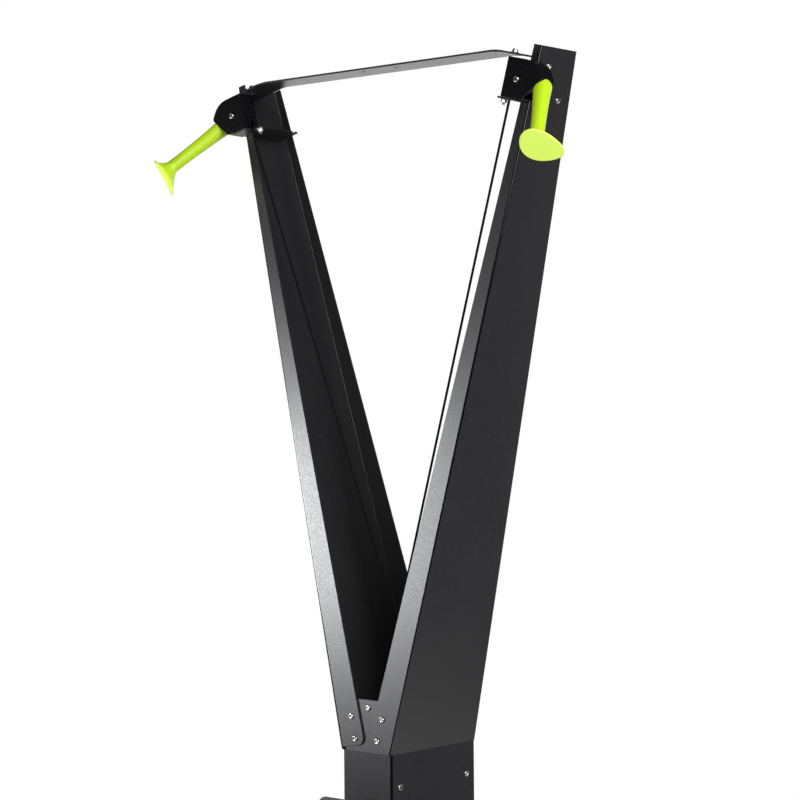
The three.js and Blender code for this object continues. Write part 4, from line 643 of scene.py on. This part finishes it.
def nut_surface(flats, height, bore):
    """Hexagon nut: a ring whose outer radius follows a hexagon's flats, chamfered at both ends, round a bore."""
    full = 0.5 * flats * hexagon(steps_round(HEAD_STEPS))
    chamfered = np.minimum(full, 0.51 * flats)
    inner = np.full(HEAD_STEPS, bore)
    level = np.array([0.0, 0.0, 0.14, 0.86, 1.0, 1.0])
    return rows_round(np.stack([inner, chamfered, full, full, chamfered, inner]), height * level, wrap_rows=True)


def stud_surface(radius, length, pitch):
    """Threaded end along +z: a turned profile whose radius falls and rises once in each pitch, with a slimmer tip."""
    turns = round(length / pitch)
    height = np.repeat(np.arange(turns) * pitch, 2) + np.tile([0.0, 0.5 * pitch], turns)
    ridge = np.tile([radius, radius - 0.35 * pitch], turns)
    profile = np.stack([ridge, height], -1)
    return turned(np.concatenate([[[0.0, 0.0]], profile, [[radius * 0.8, length], [0.0, length]]]), 24)


def placed_copies(surface, places):
    """The same surface at several (point, normal) places, all worked out as one array, each turned a little more."""
    points, faces = surface
    axes = []
    for index, (_, normal) in enumerate(places):
        first, second = cross_axes(normal)
        spin = COPY_TURN * (index + 1)
        axes.append([
            first * math.cos(spin) + second * math.sin(spin), second * math.cos(spin) - first * math.sin(spin),
            unit(normal),
        ])
    origins = np.array([point for point, _ in places], float)
    every = np.einsum("pk,nkc->npc", points, np.array(axes)) + origins[:, None]
    shifts = np.arange(len(places))[:, None, None] * len(points)
    return every.reshape(-1, 3), (faces[None] + shifts).reshape(-1, faces.shape[1])


# -------- settings


def color_setting(name, description, default):
    """A colour that the user can change."""
    return FloatVectorProperty(
        name=name, description=description, subtype="COLOR", size=4, min=0.0, max=1.0, default=default
    )


def size_setting(name, description, default, least=0.0, measure="LENGTH"):
    """A length, power or strength that the user can change."""
    return FloatProperty(name=name, description=description, default=default, min=least, unit=measure)


class FinishSettings(bpy.types.PropertyGroup):
    """Colours of the machine's finishes."""

    coat: color_setting("Frame coat", "Satin powder coat of the arms and column", (0.011, 0.0107, 0.012, 1.0))
    box: color_setting("Box coat", "Glossier coat of the pulley boxes", (0.0022, 0.0021, 0.0026, 1.0))
    plastic: color_setting("Covers", "Textured plastic of the covers and monitor", (0.012, 0.012, 0.013, 1.0))
    lime: color_setting("Handles", "Lime green of the handles", (0.335, 0.505, 0.009, 1.0))
    # Painted sheen: this paler green of the palm discs stands in for the bright light on their faces
    disc_sheen: color_setting("Thin handle plastic", "Paler green of the thin palm discs", (0.595, 0.795, 0.107, 1.0))
    steel: color_setting("Hardware", "Plated steel of the screws and bolts", (0.42, 0.415, 0.4, 1.0))
    rubber: color_setting("Rubber", "Rubber of the mat, feet and wheels", (0.011, 0.011, 0.012, 1.0))


class FormSettings(bpy.types.PropertyGroup):
    """Sizes of the rounded edges, cords and fasteners."""

    edge: size_setting("Cut edge", "Radius that breaks a cut edge", 0.0004)
    box_edge: size_setting("Box edge", "Radius that breaks the edges of the pulley boxes", 0.0008)
    fold: size_setting("Fold", "Outer radius of a fold in sheet", 0.0035)
    sweep: size_setting("Strap bend", "Reach of the strap's round bend on either side", 0.011)
    cord: size_setting("Cord radius", "Radius of the pull cords", CORD_RADIUS, 0.001)
    screw: size_setting("Screw head", "Radius of a button head", 0.005, 0.001)
    washer: size_setting("Washer", "Radius of a washer", 0.0064, 0.001)
    segments: IntProperty(name="Round steps", description="Steps round a turned piece", default=96, min=24, max=256)


class StageSettings(bpy.types.PropertyGroup):
    """Camera, floor and lights."""

    lens: size_setting("Lens", "Focal length on a 36 mm sensor", 98.905, 10.0, "CAMERA")
    floor: size_setting("Floor", "Radius of the pale floor", 2.6, 1.0)
    key: size_setting("Key light", "Power of the soft key light", 60.0, measure="POWER")
    side: size_setting("Side light", "Power of the soft light on the right", 276.0, measure="POWER")
    fill: size_setting("Front fill", "Power of the weak light in front", 26.0, measure="POWER")
    wall: size_setting("Wall bounce", "Power of the wide light behind the machine", 58.0, measure="POWER")
    ambient: size_setting("Room light", "Strength of the even light from all round", 0.035, measure="NONE")


FINISHES = {}


def finish_named(look):
    """One of the scene's finishes, made the first time that it is asked for."""
    if look not in FINISHES:
        colors = bpy.context.scene.trainer_finishes
        makers = {
            "coat": lambda: powder_coat("frame_coat", colors.coat, 0.31),
            "box": lambda: powder_coat("box_coat", colors.box, 0.25, shine=0.3),
            "plastic": lambda: moulded_plastic("cover_plastic", colors.plastic, 0.52, 900.0, 0.00012),
            "smooth": lambda: moulded_plastic("button_plastic", colors.plastic, 0.32, 2400.0, 0.00002),
            "nylon": lambda: moulded_plastic("pulley_nylon", (0.026, 0.026, 0.028, 1.0), 0.45, 1500.0, 0.00003),
            "lime": lambda: lime_plastic(colors.lime, colors.disc_sheen),
            "steel": lambda: bright_metal("plated_steel", colors.steel, 0.24),
            "aluminium": lambda: bright_metal("fan_aluminium", (0.62, 0.62, 0.63, 1.0), 0.38),
            "rubber": lambda: pebbled_rubber("moulded_rubber", colors.rubber, 700.0),
            "cord": lambda: braided_cord((0.0014, 0.0014, 0.0016, 1.0)),
            "window": lambda: display_window((0.012, 0.016, 0.014, 1.0)),
            "floor": lambda: floor_paint((0.78, 0.78, 0.78, 1.0), (0.84, 0.84, 0.84, 1.0)),
        }
        FINISHES[look] = makers[look]()
    return FINISHES[look]


# -------- pieces


class TRAINER_OT_frame(bpy.types.Operator):
    """Sheet-metal frame: arms, strap, column, brackets and platform with rounded folds and broken edges"""

    bl_idname = "trainer.frame"
    bl_label = "Frame"

    def execute(self, context):
        form = context.scene.trainer_forms
        for node in ("right_arm", "left_arm", "column", "back_cover", "base_tray"):
            finished_copy(node, "coat", form.edge, bend=form.fold)
        finished_copy("top_strap", "coat", form.edge, sweep=form.sweep)
        for node in ("right_arm_bracket", "left_arm_bracket", "guide_bracket", "monitor_bracket", "base_stiffener"):
            finished_copy(node, "coat", form.edge)
        return {"FINISHED"}


class TRAINER_OT_boxes(bpy.types.Operator):
    """Pulley boxes and their cheeks, which the handles rest in"""

    bl_idname = "trainer.boxes"
    bl_label = "Pulley boxes"

    def execute(self, context):
        for side in SIDES:
            for node in (f"{side}_pulley_box", f"{side}_pulley_cheek"):
                finished_copy(node, "box", context.scene.trainer_forms.box_edge)
        return {"FINISHED"}


def handle_axes(side):
    """Long axis of the palm disc, the axis square to it, and the axis down the grip, from its head to the disc."""
    down = unit(GRIP_DOWN[side])
    along = np.array(DISC_ALONG[side])
    along = unit(along - along.dot(down) * down)
    return np.array([along, np.cross(down, along), down])


def handle_surface(columns=120):
    """A grip down +z: rings whose two half-widths, offset, taper and slope change with the distance.

    The head is a half ball, the shaft narrows along a parabola, the flare swells as a power of its share, the
    disc's rim is a half round, and its face is flat but for one shallow round dimple, shaped as a bell curve. The
    head and shaft lie a skin's thickness inside the solid, which keeps them off the cheek when the handle swings.
    """
    dome = np.linspace(0.0, 0.5 * np.pi, 16)[:-1]
    shaft = np.linspace(0.0, 1.0, 28)
    flare = np.linspace(0.0, 1.0, 30)[1:]
    rim = np.linspace(-0.5 * np.pi, 0.5 * np.pi, 10)[1:]
    face = np.linspace(1.0, 0.0, 40)[1:]
    head, neck, long_end, wide_end = HEAD_RADIUS - GRIP_SKIN, 0.011 - GRIP_SKIN, 0.034, 0.0275
    flare_length, thickness, offset, taper, slope = 0.025, 0.0036, 0.009, 0.28, math.tan(math.radians(12.5))
    dimple_place, dimple_width, dimple_depth = 0.0158, 0.0012, 0.0007
    round_over = 0.5 * thickness
    long_flare, wide_flare = long_end - round_over, wide_end - round_over
    shaft_end = HANDLE_LENGTH - flare_length
    swell = flare**2.2
    narrow = head + (neck - head) * shaft * (2.0 - shaft)
    # Half-width the long way, half-width the other way, distance down the grip, and share of the disc's slant
    rows = [
        (head * np.sin(dome), head * np.sin(dome), -head * np.cos(dome), 0.0 * dome),
        (narrow, narrow, shaft_end * shaft, 0.0 * shaft),
        (neck + (long_flare - neck) * swell, neck + (wide_flare - neck) * swell,
         shaft_end + flare_length * flare, swell),
        (long_flare + round_over * np.cos(rim), wide_flare + round_over * np.cos(rim),
         HANDLE_LENGTH + round_over * (1.0 + np.sin(rim)), np.ones_like(rim)),
        (long_flare * face, wide_flare * face, HANDLE_LENGTH + thickness + 0.0 * face, np.ones_like(face)),
    ]
    long_way, wide_way, distance, slant = (np.concatenate([row[k] for row in rows])[:, None] for k in range(4))
    angle = steps_round(columns)
    x = offset * slant + long_way * np.cos(angle)
    y = wide_way * np.sin(angle) * (1.0 - taper * slant * np.cos(angle))
    z = distance + slope * slant * x
    dimple = np.exp(-((x - dimple_place) ** 2 + y**2) / dimple_width**2)
    z = z - dimple_depth * dimple * (np.arange(len(z)) >= len(z) - len(face))[:, None]
    points = np.stack([x, y, z], -1)
    # The share of the disc's slant, which masks the painted sheen of the lime finish, and the share of the turn
    disc_sheen = np.stack(np.broadcast_arrays(slant, angle / TURN), -1)
    return points.reshape(-1, 3), grid_faces(len(points), columns, wrap_columns=True), disc_sheen.reshape(-1, 2)


class TRAINER_OT_handles(bpy.types.Operator):
    """Pull handles: ball head, waisted grip and an oblique palm disc in one flowing surface"""

    bl_idname = "trainer.handles"
    bl_label = "Handles"

    def execute(self, context):
        points, faces, disc_sheen = handle_surface()
        for side in SIDES:
            grip = centre_of(f"{side}_cord_knot") + points @ handle_axes(side)
            mesh_piece(f"{side}_grip", [(grip, faces)], "lime", f"{side}_handle",
                       [f"{side}_handle"], smooth=60.0, uv=disc_sheen)
        return {"FINISHED"}


def arc(centre, radius, start, end, axes, steps=24):
    """Points of an arc: cosine along the first axis and sine along the second."""
    angle = np.linspace(start, end, steps)[:, None]
    return centre + radius * (np.cos(angle) * axes[0] + np.sin(angle) * axes[1])


def line(start, end, steps):
    """Points at even steps between start and end, without the two themselves."""
    share = np.linspace(0.0, 1.0, steps, endpoint=False)[1:, None]
    return start + (end - start) * share


def cord_routes(side):
    """The cord from inside the box's mouth down to its drum, and the short lead into the handle's head.

    It leaves the head against the grip's line, goes over the top pulley, straight to the far guide pulley, round
    it, and straight down to its drum.
    """
    sign = SIDES[side]
    axes = box_axes(side)
    pulley = centre_of(f"{side}_top_pulley")
    head = centre_of(f"{side}_cord_knot")
    down = handle_axes(side)[2]
    crown = head - down * (HEAD_RADIUS - 0.5 * CORD_RADIUS)
    lead = head - down * (HEAD_RADIUS + HEAD_CLEARANCE + 2.0 * CORD_RADIUS)
    # Over the top pulley, in the box's own axes: where the cord comes to its rim, and where it leaves it
    local = (lead - pulley) @ axes.T
    leave = math.atan2(local[2], local[0]) + math.acos(PULLEY_PITCH / math.hypot(local[0], local[2]))
    reach = math.sqrt(PULLEY_RIM**2 - PULLEY_PITCH**2) + 2.0 * CORD_RADIUS
    near_rim = PULLEY_PITCH * np.array([math.cos(leave), 0.0, math.sin(leave)])
    approach = pulley + (near_rim + reach * np.array([math.sin(leave), 0.0, -math.cos(leave)])) @ axes
    guide = SEAM + [-sign * GUIDE_X, GUIDE_PLANES[side], GUIDE_RISE]
    guide_local = (guide - pulley) @ axes.T
    descend = math.atan2(guide_local[2], guide_local[0]) + 0.75 * TURN
    over = arc(pulley, PULLEY_PITCH, leave, descend, (axes[0], axes[2]))
    # Round the guide pulley and down to the drum, in an upright plane
    tilt = math.atan2(abs(pulley[0] - guide[0]), pulley[2] - guide[2])
    flat = (np.array([sign, 0.0, 0.0]), np.array(UP))
    drum = SEAM + [-sign * DRUM_X, FAN_AXIS_Y + DRUM_PITCH, -FAN_DROP]
    fall = (drum - guide) * [sign, 1.0, 1.0]
    meet = math.pi / 2 - math.acos(PULLEY_PITCH / math.hypot(fall[0], fall[2]))
    away = math.pi + meet + math.atan2(-fall[0], -fall[2])
    under = arc(guide, PULLEY_PITCH, math.pi - tilt, away, flat, 8)
    run = np.concatenate([
        [lead], line(lead, approach, 5), line(approach, over[0], 8), over, line(over[-1], under[0], 60), under,
        line(under[-1], drum, 40), [drum],
    ])
    return run, np.linspace(lead, crown, 48)


class TRAINER_OT_cords(bpy.types.Operator):
    """Braided cords with their knots, and the stretch that is pulled out with each handle"""

    bl_idname = "trainer.cords"
    bl_label = "Cords"

    def execute(self, context):
        radius = context.scene.trainer_forms.cord
        for side in SIDES:
            run, lead = cord_routes(side)
            points, faces, uv = swept(run, radius)
            mesh_piece(f"{side}_cord_run", [(points, faces)], "cord", "frame", [f"{side}_drive_cord"],
                       uv=uv, smooth=80.0)
            points, faces, uv = swept(lead, radius * 0.98)
            paid_out = mesh_piece(f"{side}_cord_lead", [(points, faces)], "cord", None, uv=uv, smooth=80.0,
                                  weld=1e-7)
            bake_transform(paid_out)
            half_round = np.linspace(0.0, np.pi, 17)
            ball = KNOT_RADIUS * np.stack([np.sin(half_round), -np.cos(half_round)], -1)
            surface = turned(ball, 32, centre_of(f"{side}_cord_knot"), handle_axes(side)[2])
            braid = turned(ball, 32)[0][:, :2] * KNOT_BRAID
            mesh_piece(f"{side}_knot_ball", [surface], "cord", f"{side}_knot", [f"{side}_cord_knot"],
                       smooth=80.0, uv=braid)
        return {"FINISHED"}


def frame_screws():
    """Places and normals of the button-head screws in the arms, tongue, column and boxes."""
    places = []
    lean = unit([0.0, -1.0, ARM_TOP_FRONT / ARM_RISE])
    for sign in SIDES.values():
        for x, z in FOOT_SCREWS:
            places.append((SEAM + [sign * x, front_plane(z), z], lean))
        outwards = unit([sign, 0.0, -sign * ARM_SPREAD / ARM_RISE])
        for y, z in ARM_SIDE_SCREWS:
            places.append((SEAM + [sign * web_half_width(z), y, z], outwards))
        for y, z in COLUMN_SIDE_SCREWS:
            places.append((SEAM + [sign * FOOT_HALF_WIDTH, y, z], (sign, 0.0, 0.0)))
        for x, z in FOOT_SCREWS:
            back = ARM_FOOT_DEPTH - (ARM_FOOT_DEPTH - ARM_TOP_FRONT - ARM_TOP_DEPTH) * z / ARM_RISE
            places.append((SEAM + [sign * x, back, z], ARM_BACK_NORMAL))
    tongue = SEAM + [0.0, COLUMN_FRONT + front_plane(TONGUE_SCREW_RISE), TONGUE_SCREW_RISE]
    return [*places, (tongue, lean)]


def raised(places, height):
    """The same places, moved out along their normals."""
    return [(place + height * unit(normal), normal) for place, normal in places]


class TRAINER_OT_fasteners(bpy.types.Operator):
    """Button-head screws, washers and bolt ends"""

    bl_idname = "trainer.fasteners"
    bl_label = "Fasteners"

    def execute(self, context):
        form = context.scene.trainer_forms
        head = screw_surface(form.screw, height=0.0025)
        cap_head = screw_surface(radius=0.0044, height=0.0044)
        nut = nut_surface(flats=0.0088, height=0.0044, bore=0.0024)
        washer = washer_surface(form.washer, WASHER_THICKNESS)
        stud = stud_surface(radius=0.0025, length=0.008, pitch=0.0008)
        mesh_piece("frame_screws", [placed_copies(head, frame_screws())], "steel", "frame", smooth=35.0)
        above, below, topped = [], [], []
        for side, sign in SIDES.items():
            up = box_axes(side)[2]
            shelf = in_box(side, [*HANGING_SCREW, -BOX_BOTTOM - BOX_SHELF_GAP])
            above.append((shelf, up))
            below.append((shelf - SHEET * up, -up))
            across, back = STRAP_SCREW
            strap = SEAM + [sign * across, back, ARM_RISE - (across - STRAP_BEND_X) * ARM_SPREAD / ARM_RISE]
            topped.append((strap + STRAP_SEAT * up, up))
        ends = raised(below, WASHER_THICKNESS)
        mesh_piece("hanging_screws", [
            placed_copies(head, above), placed_copies(washer, below + topped), placed_copies(nut, ends),
            placed_copies(stud, ends), placed_copies(cap_head, raised(topped, WASHER_THICKNESS)),
        ], "steel", "frame", smooth=35.0)
        return {"FINISHED"}


def turned_piece(node, profile, middle, axis, look):
    """A round piece in place of a solid, from its profile about a point and an axis."""
    surface = turned(profile, bpy.context.scene.trainer_forms.segments, middle, axis)
    mesh_piece(f"{node}_turned", [surface], look, body_of_node(node), [node])


class TRAINER_OT_turned(bpy.types.Operator):
    """Pulleys, bolts, drums, bearings, feet and wheels with round, eased profiles"""

    bl_idname = "trainer.turned"
    bl_label = "Turned pieces"

    def execute(self, context):
        form = context.scene.trainer_forms
        pin, pad, cap = eased(BOLT_PROFILE, 0.0003), eased(FOOT_PROFILE, 0.0016), eased(CAP_PROFILE, 0.0007)
        rim, tyre = ring_profile(PULLEY_HALF, 0.0005), ring_profile(TYRE_HALF, 0.0022)
        head = screw_surface(radius=0.0051, height=0.0032)
        for side, sign in SIDES.items():
            front = box_axes(side)[1]
            bolt = f"{side}_pulley_bolt"
            mesh_piece(f"{side}_bolt_turned", [
                turned(pin, form.segments, in_box(side, [0.0, 0.0, 0.0]), front),
                placed_copies(head, [(in_box(side, [0.0, BOLT_HEAD_PLACE, 0.0]), -front)]),
            ], "steel", body_of_node(bolt), [bolt], smooth=35.0)
            for node, axis in ((f"{side}_top_pulley", front), (f"{side}_guide_pulley", (0.0, 1.0, 0.0))):
                turned_piece(node, rim, centre_of(node), axis, "nylon")
            node = f"{side}_transport_wheel"
            turned_piece(node, tyre, centre_of(node), (1.0, 0.0, 0.0), "rubber")
            node = f"{side}_bearing_cap"
            inner_face = centre_of(node) - [sign * CAP_HALF_DEPTH, 0.0, 0.0]
            turned_piece(node, cap, inner_face, (sign, 0.0, 0.0), "plastic")
            for end in ("front", "rear"):
                node = f"{end}_{side}_foot"
                turned_piece(node, pad, centre_of(node) * [1.0, 1.0, 0.0], UP, "rubber")
        for look, slot, nodes in (
            ("steel", "steel", (
                "right_guide_pin", "left_guide_pin", "fan_shaft", "damper_retainer", "right_recoil_spring",
                "left_recoil_spring", "right_bearing", "left_bearing", "monitor_hinge_pin",
            )),
            ("plastic", "black_plastic", ("right_drum", "left_drum", "right_spring_case", "left_spring_case")),
            ("rubber", "mat_rubber", ("deck_mat",)),
        ):
            for node in nodes:
                finished_copy(node, look, form.edge)
        return {"FINISHED"}


class TRAINER_OT_fan(bpy.types.Operator):
    """Fan wheel, covers, shroud and damper"""

    bl_idname = "trainer.fan"
    bl_label = "Fan"

    def execute(self, context):
        form = context.scene.trainer_forms
        finished_copy("fan_wheel", "aluminium", edge=0.0002)
        for node in ("right_fan_cover", "left_fan_cover", "fan_shroud"):
            finished_copy(node, "plastic", form.edge)
        finished_copy("damper_lever", "box", form.edge)
        return {"FINISHED"}


class TRAINER_OT_monitor(bpy.types.Operator):
    """Monitor shells, window and buttons"""

    bl_idname = "trainer.monitor"
    bl_label = "Monitor"

    def execute(self, context):
        for node in ("monitor_front", "monitor_back"):
            finished_copy(node, "plastic", edge=0.0012)
        finished_copy("monitor_screen", "window", edge=0.0003)
        for place in ("left", "middle", "right"):
            finished_copy(f"{place}_monitor_button", "smooth", edge=0.0003)
        return {"FINISHED"}


# -------- stage


def stand(name, data, right, up, back, place):
    """A camera or lamp at a place, with its right, up and backward axes."""
    pose = np.eye(4)
    pose[:3, :3] = np.stack([right, up, back], axis=1)
    pose[:3, 3] = place
    holder = bpy.data.objects.new(name, data)
    holder.matrix_world = Matrix(pose.tolist())
    bpy.context.scene.collection.objects.link(holder)
    return holder


def photo_camera(lens):
    """Camera at the photograph's place and view."""
    forward, right = unit(CAMERA_FORWARD), unit(CAMERA_RIGHT)
    data = bpy.data.cameras.new("photo_view")
    data.lens = lens
    data.sensor_width = SENSOR_WIDTH
    data.clip_end = 50.0
    return stand("photo_view", data, right, np.cross(right, forward), -forward, CAMERA_PLACE)


def studio_floor(radius, thickness=0.004):
    """Round pale floor with its top at height 0."""
    rim = [(0.0, -thickness), (radius, -thickness), (radius, 0.0), (0.0, 0.0)]
    return mesh_piece("studio_floor", [turned(rim, 128)], "floor", None)


def room_light(strength):
    """Even light from all round, and a white background that only the camera sees."""
    world = bpy.data.worlds.new("studio")
    world.use_nodes = True
    nodes = NodeTree(world.node_tree)
    seen = nodes.add("ShaderNodeBackground", {}, {"Color": (1.0, 1.0, 1.0, 1.0)})
    lit = nodes.add("ShaderNodeBackground", {}, {"Color": (0.96, 0.98, 1.0, 1.0), "Strength": strength})
    camera_ray = nodes.add("ShaderNodeLightPath", {}, {}, "Is Camera Ray")
    mixed = nodes.add("ShaderNodeMixShader", {}, {0: camera_ray, 1: lit, 2: seen})
    nodes.add("ShaderNodeOutputWorld", {}, {"Surface": mixed}, None)
    return world


def softbox(name, place, width, height, power, color):
    """A flat rectangular light that points at the machine and that the camera doesn't see."""
    lamp = bpy.data.lights.new(name, "AREA")
    lamp.shape = "RECTANGLE"
    lamp.size, lamp.size_y, lamp.energy, lamp.color = width, height, power, color
    back = unit(np.array(place) - LAMP_TARGET)
    right = unit(np.cross(UP, back))
    stand(name, lamp, right, np.cross(back, right), back, place).visible_camera = False


class TRAINER_OT_stage(bpy.types.Operator):
    """Camera at the photograph's view, pale floor and soft studio light"""

    bl_idname = "trainer.stage"
    bl_label = "Stage"

    def execute(self, context):
        settings = context.scene.trainer_stage
        context.scene.camera = photo_camera(settings.lens)
        studio_floor(settings.floor)
        context.scene.world = room_light(settings.ambient)
        softbox("left_softbox", (-2.24, -1.82, 1.42), 0.95, 0.56, settings.key, (0.97, 0.98, 1.0))
        softbox("right_softbox", (3.4, -0.8, 2.95), 3.2, 2.6, settings.side, (1.0, 0.99, 0.98))
        softbox("front_fill", (1.5, -3.2, 2.0), 1.2, 0.8, settings.fill, (1.0, 1.0, 1.0))
        softbox("wall_bounce", (-0.9, 3.0, 1.5), 5.4, 3.2, settings.wall, (1.0, 0.99, 1.0))
        context.scene.view_settings.view_transform = "Standard"
        return {"FINISHED"}


class TRAINER_PT_panel(bpy.types.Panel):
    """Lists the machine's pieces and settings"""

    bl_idname = "TRAINER_PT_panel"
    bl_label = "Ski trainer"
    bl_space_type = "VIEW_3D"
    bl_region_type = "UI"
    bl_category = "Trainer"

    def draw(self, context):
        for name, group in SETTINGS.items():
            for key in group.__annotations__:
                self.layout.prop(getattr(context.scene, name), key)
        for piece in PIECES:
            self.layout.operator(piece.bl_idname)


SETTINGS = {"trainer_finishes": FinishSettings, "trainer_forms": FormSettings, "trainer_stage": StageSettings}
PIECES = (
    TRAINER_OT_stage, TRAINER_OT_frame, TRAINER_OT_boxes, TRAINER_OT_handles, TRAINER_OT_cords,
    TRAINER_OT_fasteners, TRAINER_OT_turned, TRAINER_OT_fan, TRAINER_OT_monitor,
)


def register():
    """Adds the settings, the operators and the panel to Blender."""
    for name, group in SETTINGS.items():
        bpy.utils.register_class(group)
        setattr(bpy.types.Scene, name, PointerProperty(type=group))
    for piece in (*PIECES, TRAINER_PT_panel):
        bpy.utils.register_class(piece)


def unregister():
    """Takes them away again."""
    for piece in (TRAINER_PT_panel, *reversed(PIECES)):
        bpy.utils.unregister_class(piece)
    for name, group in SETTINGS.items():
        delattr(bpy.types.Scene, name)
        bpy.utils.unregister_class(group)


def main():
    """Makes the stage and every piece."""
    register()
    for piece in PIECES:
        group, name = piece.bl_idname.split(".")
        getattr(getattr(bpy.ops, group), name)()


if __name__ == "__main__":
    main()
